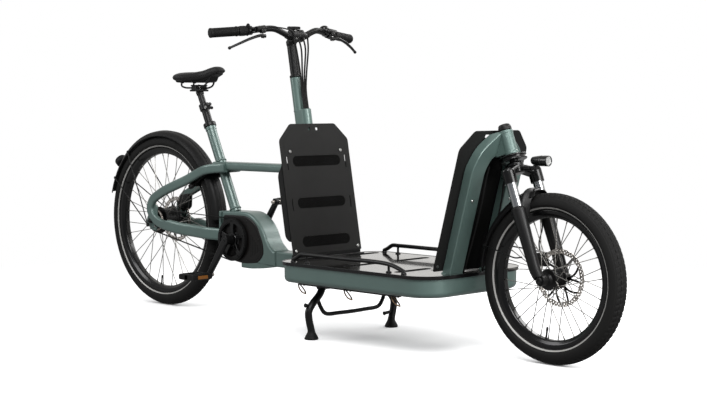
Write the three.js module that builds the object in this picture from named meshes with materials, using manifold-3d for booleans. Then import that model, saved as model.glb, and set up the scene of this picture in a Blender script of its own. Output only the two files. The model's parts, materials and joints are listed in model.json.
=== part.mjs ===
// A front-loading electric cargo bicycle: a low flat deck between the rider and a small front wheel.
// Millimetres. +X is forward, +Y is the rider's left, +Z is up. Until the last step every position is
// measured from the point on the ground below the rear axle; the finished group is then moved so that
// its origin is at the middle of the footprint.
import * as THREE from 'three';
import { mergeVertices } from 'three/addons/utils/BufferGeometryUtils.js';
import Module from 'manifold-3d';

const wasm = await Module();
wasm.setup();

const { PI, sin, cos, hypot } = Math;
const DEG = PI / 180;

// ---- driving dimensions -------------------------------------------------------------------------
const GAP = 0.3; // between neighbouring pieces that do not move against each other

const REAR = { x: 0, radius: 339.5, rimInner: 264, beadWidth: 38 };
const FRONT = { x: 1935, radius: 263, rimInner: 187, beadWidth: 36 };
const TYRE_WIDTH = 60;
const RIM_NOSE = 22; // width of the rim at its inner edge
const SPOKES = 36;
const SPOKE_RADIUS = 1.1;
const ROTOR_RADIUS = 90;
const ROTOR_THICK = 2;
const WHEEL_SIDES = 40; // facets around each rim and tyre
const HUB_SIDES = 14;

const CRANK = { x: 470, z: 293, length: 170, angle: 54.7 * DEG };
const BELT = { y: -50.5, width: 9, thick: 3 };
const PULLEY_RADIUS = 76.5; // 44 teeth of 11 mm pitch
const SPROCKET_RADIUS = 41.5; // 24 teeth

const SEAT_LEAN = Math.atan(0.4715);
const SEAT_TOP = { x: 284, z: 711 };
const SEAT_TUBE_RADIUS = 19.5;
const LOWER_POST_RADIUS = 15;
const UPPER_POST_RADIUS = 12.6;

const COLUMN = { x: 884, z: 262, lean: 10.07 * DEG };
const HOUSING_TOP = 520; // along the column
const COLUMN_TOP = 640;
const COLUMN_RADIUS = 20.5;
const HOUSING_BACK = -20.5;
const HOUSING_FRONT = 50;

const BEAM = { bottom: 206, top: 262, half: 38 };
const DECK = { top: 262, thick: 10, half: 250, rear: 930, front: 1650, corner: 60 };
const TUB = { bottom: 192, top: 251.5, half: 245, wall: 5 };
const RAIL = { y: 222, radius: 6, height: 291 };

const BOARD = { thick: 3, back: 53.5, half: 166 };
const FRONT_LEAN = 15.77 * DEG;
const FRONT_BOARD = { x: 1588, z: 262, half: 165 };

const STEER = { x: 1772, z: 637, lean: 20 * DEG }; // bottom of the head tube
const HEAD_LENGTH = 79;
const HEAD_RADIUS = 22;
const LEG_Y = 65;
const LEG_X = 18;
const STANCHION_RADIUS = 16;
const LOWER_RADIUS = 22.5;
const AXLE_RADIUS = 6;

const KICKSTAND = { x: 1048, z: 176, plane: 1060 };

// ---- materials ----------------------------------------------------------------------------------
const paint = new THREE.MeshStandardMaterial({ color: 0x5a7871, roughness: 0.35, metalness: 0.55 });
const blackMetal = new THREE.MeshStandardMaterial({ color: 0x1c1c1d, roughness: 0.45, metalness: 0.6 });
const boardBlack = new THREE.MeshStandardMaterial({ color: 0x2c2c2b, roughness: 0.75, metalness: 0.2 });
const gloss = new THREE.MeshStandardMaterial({ color: 0x151515, roughness: 0.12, metalness: 0.1 });
const plastic = new THREE.MeshStandardMaterial({ color: 0x1f1f20, roughness: 0.55, metalness: 0 });
const rubber = new THREE.MeshStandardMaterial({ color: 0x1a1a1a, roughness: 0.85, metalness: 0 });
const tyreRubber = new THREE.MeshStandardMaterial({ color: 0x202020, roughness: 0.9, metalness: 0 });
const steel = new THREE.MeshStandardMaterial({ color: 0xb9b9b7, roughness: 0.3, metalness: 0.95 });
const chrome = new THREE.MeshStandardMaterial({ color: 0xd8d8d8, roughness: 0.1, metalness: 1 });
const bronze = new THREE.MeshStandardMaterial({ color: 0x5d4a33, roughness: 0.4, metalness: 0.8 });
const redLens = new THREE.MeshStandardMaterial({ color: 0x4d1210, roughness: 0.2, metalness: 0 });
const lens = new THREE.MeshStandardMaterial({ color: 0xd9dde0, roughness: 0.1, metalness: 0 });

// ---- solids and booleans ------------------------------------------------------------------------

// A closed geometry as a manifold solid, turned right side out.
function solidOf(geometry) {
  const bare = geometry.clone();
  bare.deleteAttribute('normal');
  bare.deleteAttribute('uv');
  const merged = mergeVertices(bare, 1e-3);
  const corner = merged.index.array;
  const point = merged.attributes.position;
  const a = new THREE.Vector3();
  const b = new THREE.Vector3();
  const c = new THREE.Vector3();
  const triangles = [];
  let volume = 0;
  for (let i = 0; i < corner.length; i += 3) {
    const [p, q, r] = [corner[i], corner[i + 1], corner[i + 2]];
    if (p === q || q === r || r === p) continue;
    triangles.push(p, q, r);
    a.fromBufferAttribute(point, p);
    b.fromBufferAttribute(point, q);
    c.fromBufferAttribute(point, r);
    volume += a.dot(b.cross(c));
  }
  if (volume < 0) triangles.reverse();
  const vertProperties = new Float32Array(point.array);
  const triVerts = new Uint32Array(triangles);
  return new wasm.Manifold(new wasm.Mesh({ numProp: 3, vertProperties, triVerts }));
}

function geometryOf(solid) {
  const mesh = solid.getMesh();
  const geometry = new THREE.BufferGeometry();
  geometry.setAttribute('position', new THREE.BufferAttribute(mesh.vertProperties, 3));
  geometry.setIndex(new THREE.BufferAttribute(mesh.triVerts, 1));
  geometry.computeVertexNormals();
  return geometry;
}

function join(...pieces) {
  const solids = pieces.map(solidOf);
  return geometryOf(solids.reduce((sum, next) => sum.add(next)));
}

function cut(body, ...tools) {
  return geometryOf(tools.map(solidOf).reduce((rest, tool) => rest.subtract(tool), solidOf(body)));
}

function common(first, second) {
  return geometryOf(solidOf(first).intersect(solidOf(second)));
}

function mirrored(geometry) {
  return join(geometry.clone().scale(1, -1, 1));
}

// ---- basic shapes -------------------------------------------------------------------------------
const vec = (x, y, z) => new THREE.Vector3(x, y, z);

function block(x0, x1, y0, y1, z0, z1) {
  const box = new THREE.BoxGeometry(x1 - x0, y1 - y0, z1 - z0);
  return box.translate((x0 + x1) / 2, (y0 + y1) / 2, (z0 + z1) / 2);
}

// A round bar from one point to another, tapering to endRadius.
function rod(from, to, radius, sides = 12, endRadius = radius) {
  const run = to.clone().sub(from);
  const bar = new THREE.CylinderGeometry(endRadius, radius, run.length(), sides);
  const turn = new THREE.Quaternion().setFromUnitVectors(vec(0, 1, 0), run.clone().normalize());
  const middle = from.clone().add(to).multiplyScalar(0.5);
  return bar.applyQuaternion(turn).translate(middle.x, middle.y, middle.z);
}

// A bar across the bike, centred on (x, z).
const crossRod = (x, z, y0, y1, radius, sides = 16) => rod(vec(x, y0, z), vec(x, y1, z), radius, sides);

// A round tube along a smooth curve through the points.
function pipe(points, radius, steps, sides = 8) {
  const path = new THREE.CatmullRomCurve3(points, false, 'centripetal');
  const section = new THREE.Shape().absarc(0, 0, radius, 0, 2 * PI);
  const options = { steps, extrudePath: path, curveSegments: sides / 2, bevelEnabled: false };
  return new THREE.ExtrudeGeometry(section, options);
}

// A closed outline from corners [a, b, radius]. Each corner is rounded over its radius, or over nearly half
// of the shorter edge beside it where the radius doesn't fit.
function outline(corners) {
  const shape = new THREE.Shape();
  corners.forEach(([a, b, radius = 0], i) => {
    const here = new THREE.Vector2(a, b);
    const [before, after] = [corners.length - 1, 1].map((step) => {
      const [c, d] = corners[(i + step) % corners.length];
      return new THREE.Vector2(c - a, d - b);
    });
    const reach = Math.min(radius, 0.48 * before.length(), 0.48 * after.length());
    const start = here.clone().add(before.setLength(reach));
    const end = here.clone().add(after.setLength(reach));
    if (i === 0) shape.moveTo(start.x, start.y);
    else shape.lineTo(start.x, start.y);
    if (reach > 0) shape.quadraticCurveTo(a, b, end.x, end.y);
  });
  shape.closePath();
  return shape;
}

// The same corners, followed by their reflection in the first coordinate.
const bothSides = (corners) => [...corners, ...corners.map(([a, b, r]) => [-a, b, r]).reverse()];

function slab(shape, depth, facets = 5, bevel = 0) {
  return new THREE.ExtrudeGeometry(shape, {
    depth: depth - 2 * bevel,
    curveSegments: facets,
    bevelEnabled: bevel > 0,
    bevelSize: bevel,
    bevelOffset: -bevel,
    bevelThickness: bevel,
    bevelSegments: 2,
  }).translate(0, 0, bevel);
}

// Slabs whose outline lies across the bike (y, z), along it (x, z), or flat (x, y).
function slabX(shape, x0, x1, facets) {
  const turn = new THREE.Matrix4().makeBasis(vec(0, 1, 0), vec(0, 0, 1), vec(1, 0, 0));
  return slab(shape, x1 - x0, facets).applyMatrix4(turn).translate(x0, 0, 0);
}
function slabY(shape, y0, y1, facets) {
  return slab(shape, y1 - y0, facets).rotateX(PI / 2).translate(0, y1, 0);
}
function slabZ(shape, z0, z1, facets, bevel) {
  return slab(shape, z1 - z0, facets, bevel).translate(0, 0, z0);
}

// A slot with round ends, centred on (a, b), for a slab.
function stadium(a, b, halfLength, radius) {
  const shape = new THREE.Shape();
  shape.absarc(a + halfLength - radius, b, radius, -PI / 2, PI / 2);
  shape.absarc(a - halfLength + radius, b, radius, PI / 2, (3 * PI) / 2);
  shape.closePath();
  return shape;
}

// A closed profile of [radius, y] turned about an axle that runs across the bike.
function turned(profile, sides) {
  const points = [...profile, profile[0]].map(([r, y]) => new THREE.Vector2(r, y));
  return new THREE.LatheGeometry(points, sides);
}

// The same for a profile that starts and ends on the axis, turned about +Z.
function turnedZ(profile, sides) {
  return new THREE.LatheGeometry(profile.map(([r, z]) => new THREE.Vector2(r, z)), sides).rotateX(PI / 2);
}

function ring(outer, inner, y0, y1, sides) {
  return turned([[inner, y0], [outer, y0], [outer, y1], [inner, y1]], sides);
}

const smooth = (t) => THREE.MathUtils.smoothstep(t, 0, 1);

// Moves every corner of a geometry by a function of its place.
function bent(geometry, move) {
  const point = geometry.attributes.position;
  const p = vec(0, 0, 0);
  for (let i = 0; i < point.count; i++) {
    p.fromBufferAttribute(point, i);
    move(p);
    point.setXYZ(i, p.x, p.y, p.z);
  }
  return geometry;
}

// ---- scene graph --------------------------------------------------------------------------------
// Adds a named mesh; joining it on its own turns its faces outwards and merges its corners.
function piece(group, name, geometry, material) {
  const mesh = new THREE.Mesh(join(geometry), material);
  mesh.name = name;
  group.add(mesh);
  return mesh;
}

function placed(parent, x, z, lean = 0) {
  const group = new THREE.Group();
  group.position.set(x, 0, z);
  group.rotation.y = -lean;
  parent.add(group);
  return group;
}

// Carries a geometry from a leaning group's frame into the bicycle's.
const leant = (geometry, frame) => geometry.rotateY(-frame.lean).translate(frame.x, 0, frame.z);

// ---- wheels -------------------------------------------------------------------------------------
function tyreGeometry(wheel) {
  const half = TYRE_WIDTH / 2;
  const middle = wheel.radius - half;
  const bead = wheel.beadWidth / 2;
  const seat = wheel.radius - TYRE_WIDTH + 6;
  const profile = [[seat, bead]];
  for (let i = 0; i <= 6; i++) {
    const turn = (0.5 - i / 6) * 1.15 * PI;
    profile.push([middle + half * cos(turn), half * sin(turn)]);
  }
  profile.push([seat, -bead]);
  return turned(profile, WHEEL_SIDES);
}

function spokedRimGeometry(wheel, hub) {
  const outer = wheel.radius - TYRE_WIDTH + 6 - GAP - 1;
  const half = wheel.beadWidth / 2;
  const nose = RIM_NOSE / 2;
  const profile = [[wheel.rimInner, -nose], [outer, -half], [outer, half], [wheel.rimInner, nose]];
  const spokes = [];
  for (let i = 0; i < SPOKES; i++) {
    const side = i % 2 ? 1 : -1;
    const lead = (i >> 1) % 2 ? 1 : -1; // leading and trailing spokes pass on either side of each other
    const turn = (2 * PI * (i + 0.5)) / SPOKES;
    const root = turn + lead * hub.sweep * DEG;
    const reach = wheel.rimInner + 3;
    const from = vec(hub.flange * cos(root), side * hub.flangeY + lead * 1.9, hub.flange * sin(root));
    const to = vec(reach * cos(turn), side * 3 + lead * 1.3, reach * sin(turn));
    spokes.push(rod(from, to, SPOKE_RADIUS, 3));
  }
  // The spoke heads sit in a thin ring just outside each hub flange.
  const heads = [-1, 1].map((side) => {
    const y = side * hub.flangeY;
    return ring(hub.flange + 3, hub.flange - 1.5, y - 3, y + 3, HUB_SIDES);
  });
  return join(turned(profile, WHEEL_SIDES), ...heads, ...spokes);
}

function hubGeometry(hub) {
  const flange = hub.flange - 1.5 - GAP - 0.2;
  const w = hub.flangeY;
  const profile = [
    [hub.bore, -hub.half], [hub.end, -hub.half], [hub.end, -w - 3], [flange, -w - 3], [flange, -w + 3],
    [hub.body, -w + 8], [hub.body, w - 8], [flange, w - 3], [flange, w + 3], [hub.end, w + 3],
    [hub.end, hub.half], [hub.bore, hub.half],
  ];
  return turned(profile, HUB_SIDES);
}

function rotorGeometry(y, bore) {
  const spider = [];
  for (let i = 0; i < 6; i++) {
    const arm = block(bore, ROTOR_RADIUS - 10, y - ROTOR_THICK / 2, y + ROTOR_THICK / 2, -5, 5);
    spider.push(arm.rotateY((i * PI) / 3));
  }
  const low = y - ROTOR_THICK / 2;
  const high = y + ROTOR_THICK / 2;
  const track = ring(ROTOR_RADIUS, ROTOR_RADIUS - 15, low, high, 20);
  return join(track, ring(bore + 12, bore, low, high, HUB_SIDES), ...spider);
}

const REAR_HUB = { flange: 50, flangeY: 32, sweep: 22, half: 62, end: 24, body: 45, bore: 6.6 };
const FRONT_HUB = { flange: 30, flangeY: 24, sweep: 50, half: 41.5, end: 13, body: 22, bore: 6.6 };
const REAR_ROTOR_Y = 51;
const FRONT_ROTOR_Y = 35.5;

function addWheel(bike, side, wheel, hub, rotorY) {
  const at = placed(bike, wheel.x, wheel.radius);
  piece(at, `${side}_tyre`, tyreGeometry(wheel), tyreRubber);
  piece(at, `${side}_rim_and_spokes`, spokedRimGeometry(wheel, hub), blackMetal);
  piece(at, `${side}_hub`, hubGeometry(hub), blackMetal);
  piece(at, `${side}_brake_rotor`, rotorGeometry(rotorY, hub.end + GAP), steel);
}

// ---- rear frame ---------------------------------------------------------------------------------

const SEAT_UP = vec(-sin(SEAT_LEAN), 0, cos(SEAT_LEAN));
const seatPoint = (along) => vec(SEAT_TOP.x, 0, SEAT_TOP.z).addScaledVector(SEAT_UP, along);

// How far from the middle plane a stay runs, at a distance x ahead of the rear axle.
function stayOffset(x) {
  const narrowing = 22 * smooth((x - 60) / 240);
  return 74 - narrowing - 20 * smooth((x - 300) / 110);
}

function loopStay() {
  const path = new THREE.CatmullRomCurve3([
    vec(412, 0, 560), vec(310, 0, 548), vec(205, 0, 506), vec(60, 0, 450), vec(10, 0, 421),
    vec(-5, 0, 388), vec(14, 0, 356), vec(62, 0, 332), vec(150, 0, 318), vec(240, 0, 312),
    vec(330, 0, 308), vec(412, 0, 306),
  ], false, 'centripetal');
  const section = outline([[-10, -18, 6], [10, -18, 6], [10, 18, 6], [-10, 18, 6]]);
  const band = new THREE.ExtrudeGeometry(section, {
    steps: 18, extrudePath: path, curveSegments: 1, bevelEnabled: false,
  });
  return bent(band, (p) => {
    p.y += stayOffset(p.x);
    // The lower run is deeper than the upper one.
    if (p.z < 340 && p.x > 60) p.z = 310 + (p.z - 310) * 1.3;
  });
}

const MOTOR_OUTLINE = [
  [408, 384, 12], [548, 386, 30], [600, 357, 20], [634, 292, 30], [640, 245, 25], [606, 213, 20],
  [520, 204, 40], [440, 216, 30], [404, 250, 30], [398, 320, 30],
];
const MOTOR_HALF = 43;

// The motor's outline as a tool that leaves a little air around the motor.
function motorClearance() {
  const grown = MOTOR_OUTLINE.map(([x, z, r]) => [519 + (x - 519) * 1.006, 295 + (z - 295) * 1.008, r]);
  return slabY(outline(grown), -60, 60, 3);
}

function castingGeometry() {
  const hood = outline([
    [396, 330], [396, 397, 6], [560, 399, 50], [622, 352, 30], [655, 290, 30], [690, 262], [700, 262],
    [700, 206], [620, 206], [520, 250],
  ]);
  return slabY(hood, 3 - MOTOR_HALF, MOTOR_HALF - 3, 4);
}

function rearFrameGeometry() {
  const tube = rod(seatPoint(-355), seatPoint(0), SEAT_TUBE_RADIUS, 16);
  const post = rod(seatPoint(-250), seatPoint(10), LOWER_POST_RADIUS + GAP, 16);
  const tubeEnd = outline([[-32, 549.5, 8], [32, 549.5, 8], [32, 580.5, 8], [-32, 580.5, 8]]);
  const topTube = slabX(tubeEnd, 330, 791, 2);
  // Behind the motor the two stays are tied together by a cross plate.
  const yoke = block(385, 397.5, -42, 42, 286, 397);
  const stay = loopStay();
  const plate = crossRod(0, REAR.radius, 64, 76, 30);
  const whole = join(stay, mirrored(stay), plate, mirrored(plate), topTube, yoke, castingGeometry(), tube);
  const axle = crossRod(0, REAR.radius, -90, 90, AXLE_RADIUS + GAP);
  return cut(whole, post, axle, motorClearance());
}

function motorGeometry() {
  const unit = slabY(outline(MOTOR_OUTLINE), -MOTOR_HALF, MOTOR_HALF, 3);
  return cut(unit, crossRod(CRANK.x, CRANK.z, -60, 60, 13));
}

// ---- belt drive and cranks ----------------------------------------------------------------------
function pulleyGeometry(radius, bore, webs) {
  const low = BELT.y - BELT.width / 2;
  const high = BELT.y + BELT.width / 2;
  const windows = [];
  for (let i = 0; i < webs; i++) {
    const middle = (bore + radius) / 2;
    const hole = rod(vec(middle, -90, 0), vec(middle, 90, 0), (radius - bore) * 0.22, 6);
    windows.push(hole.rotateY((2 * PI * i) / webs));
  }
  return cut(ring(radius, bore, low, high, 36), ...windows);
}

// The belt: an outer loop around both pulleys with its inside cut away.
function beltLoop(extra) {
  const run = hypot(CRANK.x, CRANK.z - REAR.radius);
  const small = SPROCKET_RADIUS + extra;
  const large = PULLEY_RADIUS + extra;
  const open = Math.acos((small - large) / run);
  const shape = new THREE.Shape();
  shape.absarc(0, 0, small, open, 2 * PI - open);
  shape.absarc(run, 0, large, -open, open);
  shape.closePath();
  return shape;
}

function beltGeometry() {
  const half = BELT.width / 2;
  const band = slabY(beltLoop(0.8 + BELT.thick), -half, half, 12);
  const inside = slabY(beltLoop(0.8), -half - 1, half + 1, 12);
  const drop = Math.atan((REAR.radius - CRANK.z) / CRANK.x);
  return cut(band, inside).rotateY(drop).translate(0, BELT.y, REAR.radius);
}

function crankGeometry(side) {
  const tip = vec(CRANK.length * cos(CRANK.angle), 0, CRANK.length * sin(CRANK.angle)).multiplyScalar(side);
  const arm = rod(vec(0, side * 80, 0), vec(tip.x, side * 84, tip.z), 14, 10, 11);
  const boss = crossRod(0, 0, side * 57, side * 90, 18);
  const eye = crossRod(tip.x, tip.z, side * 75, side * 92, 13);
  const threaded = crossRod(tip.x, tip.z, side * 60, side * 120, 6.5);
  const flat = side > 0 ? block(-200, 200, 74, 92, -200, 200) : block(-200, 200, -92, -74, -200, 200);
  return cut(join(common(arm, flat), boss, eye), threaded);
}

function rightCrankGeometry() {
  // The spindle through the motor belongs to the right crank; the left one is pressed onto its end.
  return join(crankGeometry(-1), crossRod(0, 0, -60, 56, 12));
}

function pedalGeometry(side) {
  const body = outline([[-46, -13, 6], [46, -13, 6], [46, 13, 6], [-46, 13, 6]]);
  const cage = slabY(body, side > 0 ? 104 : -194, side > 0 ? 194 : -104, 2);
  return join(cage, crossRod(0, 0, side * 62, side * 110, 6));
}

// ---- rear fender, light, brake, lock ------------------------------------------------------------
function arcSector(from, to) {
  const reach = 900;
  const shape = new THREE.Shape();
  shape.moveTo(0, 0);
  for (let i = 0; i <= 4; i++) {
    const turn = (from + ((to - from) * i) / 4) * DEG;
    shape.lineTo(reach * cos(turn), reach * sin(turn));
  }
  shape.closePath();
  return slabY(shape, -60, 60);
}

// A domed strip around a wheel, between two angles measured up from straight ahead.
function fenderStrip(radius, half, from, to) {
  const profile = [
    [radius - 14, -half], [radius, -half / 2], [radius, half / 2], [radius - 14, half],
    [radius - 16, half - 3], [radius - 3, half / 2 - 1], [radius - 3, 1 - half / 2], [radius - 16, 3 - half],
  ];
  return common(turned(profile, 40), arcSector(from, to));
}

function onCircle(radius, degrees, y) {
  return vec(radius * cos(degrees * DEG), y, radius * sin(degrees * DEG));
}

const REAR_FENDER = { radius: 366, half: 35, from: 3, to: 163.4 };

function rearFenderGeometry() {
  const { radius, half, from, to } = REAR_FENDER;
  const wires = [];
  for (const side of [-1, 1]) {
    const eye = vec(-6, side * 88.5, -16);
    for (const angle of [152, 128]) wires.push(wire(eye, onCircle(radius - 14, angle, side * (half - 2))));
    wires.push(crossRod(eye.x, eye.z, side * 85.5, side * 91, 8, 10));
  }
  return join(fenderStrip(radius, half, from, to), ...wires);
}

const wire = (from, to) => rod(from, to, 2.4, 5);

function rearLightGeometry() {
  const reach = REAR_FENDER.radius + GAP;
  const angle = 143;
  return rod(onCircle(reach, angle, 0), onCircle(reach + 26, angle, 0), 23, 20);
}

function rearCaliperGeometry() {
  const body = outline([[18, 392, 8], [60, 372, 8], [88, 392, 8], [92, 446, 8], [40, 440, 8]]);
  const slot = block(0, 100, REAR_ROTOR_Y - 3, REAR_ROTOR_Y + 3, 300, 434);
  return cut(slabY(body, 40, 61.5, 3), slot);
}

// A horseshoe lock that straddles the tyre and the fender just below the upper stays.
const LOCK = { angle: 33, inner: 36.5, outer: 40, case: 56, tip: 254, caseTop: 272, bridge: 377 };

function ringLockGeometry() {
  const { inner, outer, tip, caseTop, bridge } = LOCK;
  const under = REAR_FENDER.radius + 2;
  const horseshoe = outline([
    [LOCK.case, tip, 6], [LOCK.case, caseTop, 6], [outer, caseTop + 4], [outer, bridge, 12],
    [-outer, bridge, 12], [-outer, caseTop + 4], [-LOCK.case, caseTop, 6], [-LOCK.case, tip, 6], [-inner, tip], [-inner, under, 8],
    [inner, under, 8], [inner, tip],
  ]);
  // Drawn with the radial direction up, then laid back to its angle on the wheel.
  return slabX(horseshoe, -8, 8, 2).rotateY((90 - LOCK.angle) * DEG).translate(REAR.x, 0, REAR.radius);
}

// ---- seat ---------------------------------------------------------------------------------------
const COLLAR = 84; // height of the quick-release collar above the seat tube
const LEVER_X = 28; // how far the lever's pivot is ahead of the post

function lowerPostGeometry() {
  const post = rod(seatPoint(-200), seatPoint(COLLAR), LOWER_POST_RADIUS, 16);
  const seatTubeClamp = rod(seatPoint(GAP), seatPoint(16), 24, 16);
  const collar = rod(seatPoint(COLLAR - 12), seatPoint(COLLAR + 12), 19.5, 16);
  const ears = block(14, LEVER_X + 6, -8.5, 8.5, -8, 8).rotateY(-SEAT_LEAN);
  const at = seatPoint(COLLAR);
  const bore = rod(seatPoint(-210), seatPoint(COLLAR + 20), UPPER_POST_RADIUS + GAP, 16);
  return cut(join(post, seatTubeClamp, collar, ears.translate(at.x, 0, at.z)), bore);
}

function seatLeverGeometry() {
  const pivot = crossRod(0, 0, -18, -9, 5, 8);
  const blade = outline([[-7, -5, 3], [40, -8, 3], [42, 3, 3], [-4, 6, 3]]);
  const lever = slabY(blade, -19, -11, 2);
  return join(pivot, lever);
}

const RAIL_Z = 862;

function seatpostGeometry() {
  const post = rod(seatPoint(-90), seatPoint(156), UPPER_POST_RADIUS, 16);
  const head = seatPoint(160);
  const yoke = block(-24, 26, -30, 30, -14, -6.5).translate(head.x, 0, RAIL_Z);
  const cap = block(-20, 22, -30, 30, 6.5, 11).translate(head.x, 0, RAIL_Z);
  const bolt = rod(vec(head.x, 0, RAIL_Z - 20), vec(head.x, 0, RAIL_Z + 10), 6, 8);
  return join(post, yoke, cap, bolt);
}

function saddleGeometry() {
  const plan = outline([
    [0, 62, 30], [18, 82, 20], [70, 80, 30], [130, 34, 40], [220, 23, 20], [220, -23, 20],
    [130, -34, 40], [70, -80, 30], [18, -82, 20], [0, -62, 30],
  ]);
  const cushion = slabZ(plan, 0, 34, 3, 8);
  bent(cushion, (p) => {
    const toNose = smooth((p.x - 60) / 150);
    p.z = p.z * (1 - 0.2 * toNose) + 20 * toNose - 8 * smooth((40 - p.x) / 40) * (p.z > 17 ? 0.4 : -1);
    p.y *= 1 - 0.12 * (p.z < 12 ? 1 : 0);
  });
  cushion.translate(138, 0, 888);
  const rail = pipe([
    vec(165, 26, 896), vec(160, 24, 872), vec(185, 22, RAIL_Z), vec(255, 22, RAIL_Z), vec(290, 20, 876),
    vec(318, 12, 914),
  ], 3.5, 10, 4);
  return join(cushion, rail, mirrored(rail));
}

// ---- column and handlebar -----------------------------------------------------------------------
const GRIP_INNER = vec(1, 180, 807);
const GRIP_OUTER = vec(-40, 335, 801);
const CLAMP = vec(29, 0, 787);
const BAR_RADIUS = 11;
const BAR_SIDES = 8;

function columnGeometry() {
  const back = HOUSING_BACK;
  const oval = new THREE.Shape();
  oval.absarc(0, 0, COLUMN_RADIUS, PI / 2, (3 * PI) / 2);
  oval.absarc(HOUSING_FRONT + back, 0, COLUMN_RADIUS, -PI / 2, PI / 2);
  oval.closePath();
  const housing = slabZ(oval, -30, HOUSING_TOP, 6);
  const upper = rod(vec(0, 0, HOUSING_TOP - 1), vec(0, 0, COLUMN_TOP), COLUMN_RADIUS - 0.1, 20);
  const bore = rod(vec(0, 0, -60), vec(0, 0, COLUMN_TOP + 10), 14, 16);
  const column = leant(cut(join(housing, upper), bore), COLUMN);
  const below = block(700, 1100, -60, 60, 150, BEAM.top + GAP);
  return cut(column, below);
}

// The part of the beam that carries the column: a bore for its shaft and a pocket for its cable wheel.
function beamGeometry() {
  const side = outline([
    [700 + GAP, BEAM.bottom, 0], [1640, BEAM.bottom, 0], [1640, 250.5, 0], [DECK.rear - 4, 250.5, 0],
    [DECK.rear - 4, BEAM.top, 0], [700 + GAP, BEAM.top, 0],
  ]);
  const pocket = block(846, 950, -60, 60, 150, 234);
  const shaft = leant(rod(vec(0, 0, -80), vec(0, 0, 40), 14, 16), COLUMN);
  return cut(slabY(side, -BEAM.half, BEAM.half), pocket, shaft);
}

function steeringShaftGeometry() {
  const shaft = rod(vec(0, 0, -52), vec(0, 0, COLUMN_TOP - 1), 12.5, 16);
  return join(shaft, cablePulley(-52, 36, 16));
}

// Two thin rims with a cable groove between them.
function cablePulley(z, radius, height) {
  return turnedZ([
    [0, z], [radius, z], [radius, z + 3], [radius - 6, z + 5], [radius - 6, z + height - 5],
    [radius, z + height - 3], [radius, z + height], [0, z + height],
  ], 24);
}

function stemGeometry() {
  const quill = rod(vec(0, 0, COLUMN_TOP + GAP), vec(0, 0, 772), 17, 16);
  const topCap = rod(vec(0, 0, COLUMN_TOP + GAP), vec(0, 0, COLUMN_TOP + 9), 20.5, 16);
  const neck = rod(vec(-6, 0, 768), CLAMP, 19, 16);
  const clamp = crossRod(CLAMP.x, CLAMP.z, -27, 27, 22, 12);
  const hole = crossRod(CLAMP.x, CLAMP.z, -40, 40, 16.4, 12);
  return cut(join(quill, topCap, neck, clamp), hole);
}

function handlebarGeometry() {
  const rise = [vec(29, 36, 787.5), vec(28, 100, 809), vec(14, 145, 809.5), GRIP_INNER];
  const bend = pipe([CLAMP, ...rise], BAR_RADIUS, 8, BAR_SIDES);
  const straight = rod(GRIP_INNER, GRIP_OUTER, BAR_RADIUS, BAR_SIDES);
  const thick = crossRod(CLAMP.x, CLAMP.z, -33, 33, 15.9, 12);
  return join(bend, straight, mirrored(bend), mirrored(straight), thick);
}

const gripPoint = (along) => GRIP_INNER.clone().lerp(GRIP_OUTER, along);

function barSleeve(from, to, radius, side) {
  const sleeve = rod(gripPoint(from), gripPoint(to), radius, 12);
  const bore = rod(gripPoint(-0.2), gripPoint(1.004), BAR_RADIUS + 0.9, BAR_SIDES);
  const open = cut(sleeve, bore);
  return side > 0 ? open : mirrored(open);
}

function gripGeometry(from, side) {
  return barSleeve(from, 1.02, 17, side);
}

function brakePerchGeometry(side) {
  const band = barSleeve(0.01, 0.1, 16, 1);
  const reservoir = rod(vec(37, 150, 803), vec(37, 190, 797), 10, 8);
  const bridge = block(10, 34, 183, 192, 796, 806);
  const lug = block(34, 52, 160, 176, 790, 800);
  const bore = rod(gripPoint(-0.3), gripPoint(0.5), BAR_RADIUS + 0.9, BAR_SIDES);
  const perch = cut(join(band, reservoir, bridge, lug), bore);
  return side > 0 ? perch : mirrored(perch);
}

function brakeLeverGeometry(side) {
  const blade = pipe([
    vec(43, 164, 778), vec(50, 185, 778), vec(44, 225, 768), vec(30, 268, 752), vec(14, 303, 738),
  ], 5, 10, 6);
  const boss = block(35, 52, 160, 174, 771, 785 - GAP);
  const lever = join(blade, boss);
  return side > 0 ? lever : mirrored(lever);
}

function displayGeometry() {
  const face = outline([[-22, -16, 6], [22, -16, 6], [22, 16, 6], [-22, 16, 6]]);
  return slabZ(face, 0, 10, 3, 2).rotateY(-12 * DEG).translate(22, 0, 812);
}

// ---- cables -------------------------------------------------------------------------------------
function controlCablesGeometry() {
  const hoses = [-34, -12, 12, 34].map((y) => pipe([
    vec(52, y, 776), vec(66 - Math.abs(y) / 4, y * 0.9, 735), vec(50, y * 0.6, 650), vec(38, y * 0.4, 580),
    vec(38, y * 0.36, HOUSING_TOP + GAP),
  ], 2.5, 8, 4));
  const tie = block(34, 44, -16, 16, 590, 598);
  return join(tie, ...hoses);
}

// From the column's cable wheel, inside the tub, then up through the panel to the fork's cable wheel.
function steeringCablesGeometry() {
  const left = pipe([
    vec(952, 44, 215), vec(1250, 46, 212), vec(1540, 46, 216), vec(1600, 46, 246), vec(1640, 48, 330),
    vec(1688, 48, 480), vec(1706, 44, 570), vec(1714, 41, 600),
  ], 3, 16, 4);
  const clip = block(1296, 1304, -46, 46, 199, 204.5);
  const riser = block(1296, 1304, 42, 49, 199, 214);
  return join(left, mirrored(left), clip, riser, mirrored(riser));
}

// ---- deck ---------------------------------------------------------------------------------------
function deckPlan(half, inset) {
  const { corner } = DECK;
  const front = DECK.front - inset;
  const rear = DECK.rear + inset;
  return outline([
    [rear, -half + corner, 0], [rear + 36, -half, 40], [front - corner, -half, 40],
    [front, -half + corner, 40], [front, half - corner, 40], [front - corner, half, 40],
    [rear + 36, half, 40], [rear, half - corner, 0],
  ]);
}

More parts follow.
